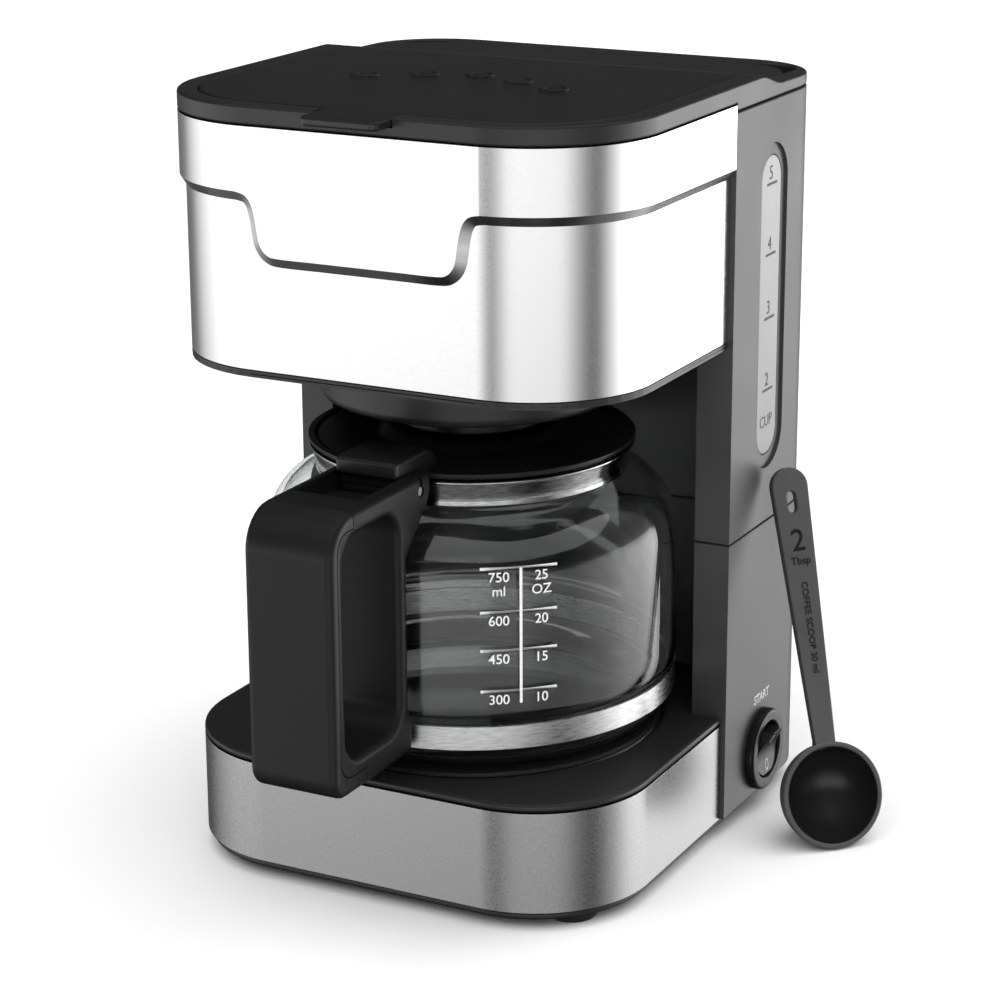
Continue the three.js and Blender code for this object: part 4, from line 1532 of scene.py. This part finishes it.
# --------------------------------------------------------------------------- collar and lid
@dataclass
class Crown:
    """Collar that frames the lid, and the lid itself.

    Attributes:
        width: Width of the collar.
        seat: Lower edge of the collar over the steel.
        thickness: Thickness of the lid.
        hinge_y: Depth of the hinge.
        tab_half: Half of the width of the lid's finger tab.
        tab_front: Front edge of the finger tab.
        vents: Places of the steam vents.
    """

    width: float = 6.5
    seat: float = 244.0
    thickness: float = 3.0
    hinge_y: float = 78.0
    tab_half: float = 13.0
    tab_front: float = -98.0
    vents: Sequence[Point2] = ((-33, -24), (-16.5, -15), (0, -9), (16.5, -15), (33, -24))

    def build(self, shop: Workshop) -> None:
        """Makes the collar and the lid.

        Args:
            shop: The workshop.
        """
        kit = shop.finishes
        shop.piece("collar", self.collar(), "machine", kit.black, ["top_collar"])
        shop.piece("lid", self.lid(), "lid", kit.lid, ["top_lid"])
        shop.dress(kit.hardware, "lid_hinge_pin_1", "lid_hinge_pin_2")

    def collar(self) -> bpy.types.Mesh:
        """Collar whose lower edge rests on the steel in front and on the column behind.

        Returns:
            The mesh.
        """
        rear_bar = self.hinge_y + 3.6
        front = PLAN.front(self.width, 60)
        side = front[-1][0]
        hole = front + rounded([(side, 61, 0), (side, rear_bar, 11), (-side, rear_bar, 11), (-side, 61, 0)],
                               8, closed=False)
        low = TOP.height - 8.3
        block = slab([PLAN.whole(0), hole], low, TOP.height, 0.9)
        for end in (-1, 1):
            pocket = [(end * 50, 56), (end * (side + 0.5), 56), (end * (side + 0.5), rear_bar - 8),
                      (end * (side - 6), rear_bar + 0.5), (end * 50, rear_bar + 0.5)]
            block = carve(block, slab([pocket], low, TOP.height - 3.6), how=Cut.JOIN)

        def sink(y: float) -> float:
            """How far the lower edge lies below the height that the block starts with.

            Args:
                y: Depth.

            Returns:
                The distance.
            """
            return low - self.seat if y < STEEL_END_Y + GAP else low - 241.7

        follow_top(block, sink, low + 2)
        notch = self.tab_half + GAP
        cutout = [(-notch, -110), (notch, -110), (notch, -70), (-notch, -70)]
        slot = slab([cutout], TOP.height - 3.1, TOP.height + 9)
        return carve(block, slot)

    def lid(self) -> bpy.types.Mesh:
        """Lid that follows the step of the top, with finger tab, knuckles and vents.

        Returns:
            The mesh.
        """
        front = PLAN.front(self.width + GAP, 56)
        side = front[-1][0]
        middle = len(front) // 2
        root = front[middle][1]
        tab = rounded([(-self.tab_half, root, 0), (-self.tab_half, self.tab_front, 2.5),
                       (self.tab_half, self.tab_front, 2.5), (self.tab_half, root, 0)], 6, closed=False)
        plate = [*front[:middle], *tab, *front[middle:]]
        plate += rounded([(side, 56.5, 0), (side, self.hinge_y, 20), (-side, self.hinge_y, 20),
                          (-side, 56.5, 0)], 16, closed=False)
        holes = [circle(x, y, 3.4, 24) for x, y in self.vents]
        sheet = slab([plate, *holes], TOP.height - self.thickness, TOP.height, 0.9)
        follow_top(sheet)
        hinge_z = TOP.height - TOP.drop(self.hinge_y) - 3
        knuckles = []
        for x in (-34.0, 34.0):
            rings = [circle(self.hinge_y, hinge_z, 3, 32), circle(self.hinge_y, hinge_z, 1.3, 20)]
            knuckles.append(slab(rings, x - 6, x + 6, 0.3, Axis.X))
        top = TOP.height
        dimple = soften([(3.6, top - 1.6, 0), (4.9, top - 0.6, 0.2), (4.6, top + 0.8, 0.5),
                         (3.5, top + 0.75, 0.6), (2.2, top - 1.5, 0.6), (1.3, top - 1.7, 0.3),
                         (1.3, top - 2.6, 0), (3.6, top - 2.6, 0), (3.6, top - 1.6, 0)], 4)
        rims = [lathe(dimple, place, 32) for place in self.vents]
        return merged([sheet, *knuckles, *rims])


# --------------------------------------------------------------------------- carafe
@dataclass
class Carafe:
    """Glass jug with steel bands and a printed scale.

    Attributes:
        shape: Outside of the glass from the foot to the rim, as radius and height.
        wall: Thickness of the glass.
        scale_radius: Radius on which the scale is printed.
        scale_turn: Direction of the scale's middle line from the front, in degrees.
    """

    shape: Sequence[Point2] = (
        (54, 43.3), (57.4, 43.9), (60.6, 45.6), (63.4, 48.2), (64.9, 51), (65.2, 53.5), (65.2, 59.6),
        (65.7, 61.6), (66.6, 64), (67.1, 68), (67.2, 74), (67.2, 86), (66.9, 98), (66.2, 107), (64.6, 114),
        (61.2, 119.5), (56.6, 123.4), (51.6, 125.9), (48.6, 127.3), (48.1, 128.6), (49.2, 131.4),
        (50.8, 134.6))
    wall: float = 2.0
    scale_radius: float = 67.3
    scale_turn: float = 40.5

    def glass(self) -> bpy.types.Mesh:
        """Blown body with an even wall.

        Returns:
            The mesh.
        """
        outside = spline(self.shape)
        inside: Loop = []
        for before, here, after in zip(outside, outside[1:], outside[2:]):
            along = Vector((after[0] - before[0], after[1] - before[1])).normalized()
            inside.append((here[0] - along.y * self.wall, here[1] + along.x * self.wall))
        lip = [(50.4, 135.4), (49.6, 135.4)]
        floor = [(51, 46.2), (40, 45.9), (0, 45.9)]
        base = [(0, 43.9), (44, 43.9), (50, 44.0)]
        return lathe([*base, *outside, *lip, *inside[:3:-1], *floor], steps=128)

    def build(self, shop: Workshop) -> None:
        """Makes the jug, its bands and the scale.

        Args:
            shop: The workshop.
        """
        kit = shop.finishes
        shop.piece("jug", self.glass(), "carafe", kit.glass, ["carafe_glass"])
        lower = lathe(soften([(65.5, 52.6, 0), (66.3, 52.6, 0.25), (66.3, 60.5, 0.25), (65.5, 60.5, 0),
                              (65.5, 52.6, 0)], 3), steps=160)
        shop.piece("jug_band", lower, "carafe", kit.ring, ["carafe_steel_band"])
        neck = lathe(soften([(49.3, 126.9, 0), (50.6, 126.6, 0.3), (50.5, 128.2, 0.4), (51.7, 133.9, 0.4),
                             (52.5, 134.2, 0.3), (52.4, 134.9, 0.2), (51.3, 134.9, 0),
                             (49.3, 126.9, 0)], 3), steps=128)
        shop.piece("jug_neck", neck, "carafe", kit.neck, ["carafe_neck_band"])
        shop.piece("jug_scale", self.scale(), "carafe", kit.white_ink)

    def wrap(self, mesh: bpy.types.Mesh, turn: float, z: float) -> bpy.types.Mesh:
        """Bends a flat print round the glass.

        Args:
            mesh: Flat print, upright in its own plane.
            turn: Direction of its middle from the front, in degrees.
            z: Height of its middle.

        Returns:
            The same mesh.
        """
        for vertex in mesh.vertices:
            u, v, w = vertex.co
            radius = self.scale_radius + w
            angle = math.radians(turn) + u / self.scale_radius
            vertex.co = (radius * math.sin(angle), BREW_Y - radius * math.cos(angle), z + v)
        return mesh

    def line(self, left: float, right: float, low: float, high: float) -> bpy.types.Mesh:
        """Printed line with enough divisions to be bent.

        Args:
            left: Left end.
            right: Right end.
            low: Lower edge.
            high: Upper edge.

        Returns:
            The mesh.
        """
        pieces = max(1, round((right - left) / 1.5))
        us = [left + (right - left) * i / pieces for i in range(pieces + 1)]
        outline = [(u, low) for u in us] + [(u, high) for u in reversed(us)]
        return slab([outline], 0, 0.05)

    def scale(self) -> bpy.types.Mesh:
        """Printed scale in millilitres and ounces.

        Returns:
            The mesh.
        """
        marks = [self.wrap(self.line(-0.45, 0.45, -21.9, 21.9), self.scale_turn, 90.2)]
        reach = 11.6
        rows = (("750", "25", 112.0), ("600", "20", 98.0), ("450", "15", 85.6), ("300", "10", 72.4))
        for volume, ounces, z in rows:
            marks.append(self.wrap(self.line(-reach - 1, reach, -0.48, 0.48), self.scale_turn, z))
            marks.append(self.wrap(lettering(volume, 3.2, 0.05, 0.03), self.scale_turn - 5.8, z - 2.9))
            marks.append(self.wrap(lettering(ounces, 3.2, 0.05, 0.03), self.scale_turn + 5.6, z - 2.9))
        marks.append(self.wrap(lettering("ml", 3.2, 0.05, 0.03), self.scale_turn - 5.8, 104.6))
        marks.append(self.wrap(lettering("OZ", 3.2, 0.05, 0.03), self.scale_turn + 5.6, 104.6))
        return merged(marks)


@dataclass
class Handle:
    """Handle of the carafe: frame, grip cover and hinge parts.

    Attributes:
        half: Half of the width.
        front: Front face of the grip.
        top: Upper face.
        bottom: Lower face.
        seam: Joint between frame and grip cover.
        edge: Rounding of the long edges.
        pin: Depth and height of the lid's hinge pin.
        pocket_half: Half of the width of the lever's pocket.
    """

    half: float = 15.0
    front: float = -131.5
    top: float = 140.0
    bottom: float = 52.5
    seam: float = -127.7
    edge: float = 2.4
    pin: Point2 = (-77.5, 134.8)
    pocket_half: float = 11.2

    def block(self) -> bpy.types.Mesh:
        """Whole handle as one rounded loop.

        Returns:
            The mesh.
        """
        outline = rounded([(-70.5, self.top, 2.6), (self.front, self.top, 13), (self.front, self.bottom, 7),
                           (-84, self.bottom, 3), (-84, 63.8, 1), (-86, 68, 1), (-86, 115.5, 1),
                           (-79.8, 122.2, 1), (-73, 129, 2.6), (-70.5, 133, 2.6)], 8)
        gap = rounded([(-124, 132.2, 8), (-91.5, 132.2, 8), (-91.5, 63, 8), (-124, 63, 8)], 10)
        return slab([outline, gap], -self.half, self.half, self.edge, Axis.X, 4)

    def keep(self, gap: float) -> bpy.types.Mesh:
        """Room that belongs to the frame.

        Args:
            gap: How far the room is enlarged.

        Returns:
            The mesh.
        """
        loop = [(-60, 150), (-118 - gap, 150), (-118 - gap, 134.6 + gap),
                *arc(self.seam + 6 - gap, 128.6 + gap, 6, 90, 180, 8),
                *arc(self.seam + 6 - gap, 64.6 - gap, 6, 180, 270, 8),
                (-113 - gap, 58.6 - gap), (-113 - gap, 40), (-60, 40)]
        return slab([loop], -30, 30, axis=Axis.X)

    def build(self, shop: Workshop) -> None:
        """Makes the frame, the grip cover and the small parts.

        Args:
            shop: The workshop.
        """
        kit = shop.finishes
        slope = [(-108, 150), (-108, 137), (-100, 134.4), (-60, 134.4), (-60, 150)]
        pin_y, pin_z = self.pin
        lever_room = [(-86, 129.6), (-60, 129.6), (-60, 150), (-86, 150)]
        pin_way = [(pin_y - 1, pin_z), (pin_y + 1, pin_z), (pin_y + 1, 150), (pin_y - 1, 150)]
        cutters = [
            slab([slope], -self.pocket_half, self.pocket_half, axis=Axis.X),
            slab([lever_room], -self.pocket_half, self.pocket_half, axis=Axis.X),
            slab([pin_way], -30, 30, axis=Axis.X),
            slab([circle(*self.pin, 1.8, 24)], -30, 30, axis=Axis.X),
        ]
        frame_part = carve(carve(self.block(), self.keep(0), how=Cut.KEEP), *cutters)
        shop.piece("handle_loop", frame_part, "carafe", kit.handle, ["handle_frame"])
        shop.piece("handle_cover", carve(self.block(), self.keep(GAP)), "carafe", kit.grip, ["handle_grip"])
        shop.dress(kit.hardware, "lid_pin", "handle_screw")


@dataclass
class CarafeLid:
    """Hinged lid of the carafe with its thumb lever.

    Attributes:
        half: Half of the lever's width.
        pin: Depth and height of the hinge pin.
    """

    half: float = 10.6
    pin: Point2 = (-77.5, 134.8)

    def build(self, shop: Workshop) -> None:
        """Makes the lid.

        Args:
            shop: The workshop.
        """
        profile = soften([(0, 134.6, 0), (43, 134.6, 0), (43, 129.5, 0), (45, 129.5, 0.4),
                          (45.6, 135.6, 0.3), (52.4, 135.9, 0.4), (52.9, 137.7, 0.5), (50.6, 137.5, 0.6),
                          (49.4, 136.9, 0.8), (30, 137.6, 3), (26.6, 140.4, 2), (14, 141.4, 6),
                          (0, 141.4, 0)], 4)
        disc = lathe(profile, steps=112)
        lever = slab([rounded([(-70, 135.2, 0.5), (-82, 135.2, 1.3), (-82, 139.2, 0.3), (-85, 139.4, 1.2),
                               (-85, 144.8, 1.3), (-66, 144.8, 4), (-60.5, 142.5, 3), (-58.2, 138, 1.2),
                               (-61, 136.8, 1.2)], 5)], -self.half, self.half, 1.0, Axis.X)
        rings = [circle(*self.pin, 4, 40), circle(*self.pin, 1.7, 24)]
        eye = slab(rings, -self.half, self.half, 0.4, Axis.X)
        shop.piece("jug_lid", merged([disc, lever, eye]), "carafe_cover", shop.finishes.lid, ["carafe_lid"])


# --------------------------------------------------------------------------- measuring scoop
@dataclass
class Scoop:
    """Two-tablespoon measuring scoop that leans on the column.

    Attributes:
        radius: Outer radius of the bowl.
        centre: Centre of the bowl.
        along: Direction of the stem.
        facing: Direction that the bowl opens to.
        length: Reach of the stem from the bowl's centre.
        thick: Thickness of the stem.
    """

    radius: float = 17.5
    centre: tuple[float, float, float] = (113.5, 20.5, 17.5)
    along: tuple[float, float, float] = (-0.25, 0.19, 0.95)
    facing: tuple[float, float, float] = (0.68, -0.66, 0.32)
    length: float = 107.0
    thick: float = 3.4

    def stand(self) -> Matrix:
        """Position and direction of the scoop as it leans.

        Returns:
            The transform.
        """
        along = Vector(self.along).normalized()
        across = along.cross(Vector(self.facing)).normalized()
        normal = across.cross(along).normalized()
        turn = Matrix((across, along, normal)).transposed().to_4x4()
        return Matrix.Translation(self.centre) @ turn

    def build(self, shop: Workshop) -> None:
        """Makes the scoop and its raised lettering.

        Args:
            shop: The workshop.
        """
        inner = self.radius - 1.5
        outside = arc(0, 0, self.radius, -90, 0, 20)
        inside = arc(0, 0, inner, 0, -90, 20)
        bowl = lathe([*outside, (self.radius - 0.4, 0.35), (inner + 0.4, 0.35), *inside], (0, 0), 96)
        end = self.length - 5
        stem = rounded([(-3.6, inner + 0.2, 0), (3.6, inner + 0.2, 0), (6.4, end, 0)], 2)[:3]
        outline = [stem[0], stem[1], *arc(0, end, 6.4, 0, 180, 24)]
        slot = obround(0, self.length - 12, self.length - 8, 1.6, 12)
        bar = slab([outline, slot], -self.thick, 0, 0.7)
        web = [(inner - 1, -self.thick), (inner + 9, -self.thick), (inner + 0.2, -9.5)]
        gusset = slab([web], -1.2, 1.2, 0.3, Axis.X)
        mesh = merged([bowl, bar, gusset])
        mesh.transform(self.stand())
        shop.piece("spoon", mesh, "measuring_scoop", shop.finishes.scoop, ["scoop"])
        # Painted shade: a thin dark sheet laid just inside the bowl stands in for the shade in its hollow.
        skin = [*arc(0, 0, inner - 0.02, -90, 0, 20), *arc(0, 0, inner - 0.3, 0, -90, 20)]
        lining = lathe(skin, (0, 0), 96)
        lining.transform(self.stand())
        shop.piece("spoon_painted_shade", lining, "measuring_scoop", shop.finishes.hollow)
        words = []
        for text, size, u, v, turn in (("2", 7.5, 0, 84, 0), ("Tbsp", 2.6, 0, 77.5, 0),
                                       ("COFFEE SCOOP 30 ml", 2.3, 0, 55.5, -90)):
            word = lettering(text, size, 0.4)
            word.transform(Matrix.Translation((u, v, 0)) @ Matrix.Rotation(math.radians(turn), 4, "Z"))
            words.append(word)
        raised = merged(words)
        raised.transform(self.stand())
        # The raised letters take the darker plastic, painted shade that stands in for the shading that
        # shows them.
        shop.piece("spoon_words", raised, "measuring_scoop", shop.finishes.hollow)


# --------------------------------------------------------------------------- studio
@dataclass
class Studio:
    """Pale floor, surrounding light and camera.

    Attributes:
        eye: Position of the camera in metres.
        azimuth: Direction of the camera from the object, in degrees from the front.
        elevation: Height of the camera's direction in degrees.
        roll: Turn of the picture in degrees.
        lens: Focal length in millimetres.
        daylight: Strength of the soft light from above.
        flags: Azimuths round the object and the brightness of the surroundings there.
        heights: Sines of elevation and the share of that brightness there.
    """

    eye: tuple[float, float, float] = (0.3984, -0.7874, 0.391)
    azimuth: float = 27.46
    elevation: float = 17.2
    roll: float = -0.26
    lens: float = 104.26
    daylight: float = 3.8
    flags: Sequence[tuple[float, float]] = (
        (-180, 0.5), (-145, 0.4), (-130, 0.15), (-110, 0.25), (-92, 1.0), (-66, 1.8), (-25, 1.8),
        (-20, 1.0), (-13, 0.3), (-6, 0.8), (4, 1.5), (50, 1.4), (64, 0.7), (75, 0.25), (84, 0.25),
        (94, 0.9),
        (108, 1.8), (122, 3.6), (160, 3.6), (172, 1.2), (180, 0.5))
    heights: Sequence[tuple[float, float]] = (
        (-1.0, 0.03), (-0.8, 0.05), (-0.62, 0.2), (-0.45, 0.36), (-0.36, 0.52), (-0.27, 0.85), (-0.16, 1.1),
        (-0.04, 1.1), (0.06, 0.14), (0.3, 0.07), (0.75, 0.1), (1.0, 0.3))

    def build(self) -> None:
        """Sets up floor, surroundings, lamps and camera."""
        self.floor()
        self.surroundings()
        self.lamps()
        self.camera()

    def floor(self) -> None:
        """Large pale floor that polished sides do not show."""
        work = bmesh.new()
        reach = 6.0
        square = ((-reach, -reach), (reach, -reach), (reach, reach), (-reach, reach))
        work.faces.new([work.verts.new((x, y, 0)) for x, y in square])
        mesh = bpy.data.meshes.new("floor")
        work.to_mesh(mesh)
        work.free()
        floor = bpy.data.objects.new("floor", mesh)
        bpy.context.scene.collection.objects.link(floor)
        board = NodeBoard("floor_paint")
        board.shader.inputs["Base Color"].default_value = (0.97, 0.97, 0.97, 1)
        board.set(Roughness=0.9)
        mesh.materials.append(board.material)
        floor.visible_glossy = False

    def surroundings(self) -> None:
        """World whose brightness changes with the direction, with a plain pale backdrop."""
        world = bpy.data.worlds.new("studio")
        world.use_nodes = True
        bpy.context.scene.world = world
        tree = world.node_tree
        tree.nodes.clear()
        new, link = tree.nodes.new, tree.links.new
        place = new("ShaderNodeTexCoord")
        split = new("ShaderNodeSeparateXYZ")
        flip = new("ShaderNodeMath")
        flip.operation = "MULTIPLY"
        flip.inputs[1].default_value = -1.0
        turn = new("ShaderNodeMath")
        turn.operation = "ARCTAN2"
        share = new("ShaderNodeMapRange")
        share.inputs["From Min"].default_value = -math.pi
        share.inputs["From Max"].default_value = math.pi
        around = self.ramp(tree, self.flags, (-180, 180), 4.0)
        upward = self.ramp(tree, self.heights, (-1, 1), 2.0)
        rise = new("ShaderNodeMapRange")
        rise.inputs["From Min"].default_value = -1.0
        level = new("ShaderNodeMath")
        level.operation = "MULTIPLY"
        link(place.outputs["Generated"], split.inputs["Vector"])
        link(split.outputs["Y"], flip.inputs[0])
        link(split.outputs["X"], turn.inputs[0])
        link(flip.outputs["Value"], turn.inputs[1])
        link(turn.outputs["Value"], share.inputs["Value"])
        link(share.outputs["Result"], around.inputs["Fac"])
        link(split.outputs["Z"], rise.inputs["Value"])
        link(rise.outputs["Result"], upward.inputs["Fac"])
        link(around.outputs["Color"], level.inputs[0])
        link(upward.outputs["Color"], level.inputs[1])
        sky = new("ShaderNodeBackground")
        sky.inputs["Strength"].default_value = 8.0
        link(level.outputs["Value"], sky.inputs["Color"])
        backdrop = new("ShaderNodeBackground")
        backdrop.inputs["Color"].default_value = (1, 1, 1, 1)
        backdrop.inputs["Strength"].default_value = 1.0
        seen = new("ShaderNodeLightPath")
        choose = new("ShaderNodeMixShader")
        link(seen.outputs["Is Camera Ray"], choose.inputs["Fac"])
        link(sky.outputs["Background"], choose.inputs[1])
        link(backdrop.outputs["Background"], choose.inputs[2])
        out = new("ShaderNodeOutputWorld")
        link(choose.outputs["Shader"], out.inputs["Surface"])

    @staticmethod
    def ramp(tree: bpy.types.NodeTree, stops: Sequence[tuple[float, float]], span: Point2,
             most: float) -> bpy.types.Node:
        """Colour ramp through given levels.

        Args:
            tree: Node tree that gets the ramp.
            stops: Positions and levels.
            span: Positions of the ramp's ends.
            most: Level that the ramp's white stands for.

        Returns:
            The ramp node.
        """
        node = tree.nodes.new("ShaderNodeValToRGB")
        elements = node.color_ramp.elements
        elements.remove(elements[-1])
        for i, (position, level) in enumerate(stops):
            share = (position - span[0]) / (span[1] - span[0])
            element = elements[0] if i == 0 else elements.new(share)
            element.position = share
            element.color = (level / most, level / most, level / most, 1)
        return node

    def lamps(self) -> None:
        """Very soft light from above that polished surfaces do not mirror."""
        light = bpy.data.lights.new("soft_light", "SUN")
        light.energy = self.daylight
        light.angle = math.radians(110)
        lamp = bpy.data.objects.new("soft_light", light)
        lamp.rotation_euler = (math.radians(12), math.radians(10), 0)
        lamp.visible_glossy = False
        bpy.context.scene.collection.objects.link(lamp)

    def camera(self) -> None:
        """Puts the camera in front, to the right and above."""
        a, e = math.radians(self.azimuth), math.radians(self.elevation)
        back = Vector((math.sin(a) * math.cos(e), -math.cos(a) * math.cos(e), math.sin(e)))
        right = Vector((math.cos(a), math.sin(a), 0))
        up = back.cross(right)
        turn = Matrix((right, up, back)).transposed().to_4x4()
        data = bpy.data.cameras.new("view")
        data.lens = self.lens
        data.sensor_width = 36
        eye = bpy.data.objects.new("view", data)
        eye.matrix_world = (Matrix.Translation(self.eye) @ turn
                            @ Matrix.Rotation(math.radians(self.roll), 4, "Z"))
        bpy.context.scene.collection.objects.link(eye)
        bpy.context.scene.camera = eye


def main() -> None:
    """Builds the coffee maker and its studio."""
    logging.basicConfig(level=logging.INFO, format="%(name)s: %(message)s")
    shop = Workshop()
    machine = (Base(), Column(), PowerSwitch(), Head(), Crown())
    accessories = (Carafe(), Handle(), CarafeLid(), Scoop())
    for part in machine + accessories:
        part.build(shop)
    Studio().build()
    bpy.context.scene.view_settings.view_transform = "Standard"


if __name__ == "__main__":
    main()
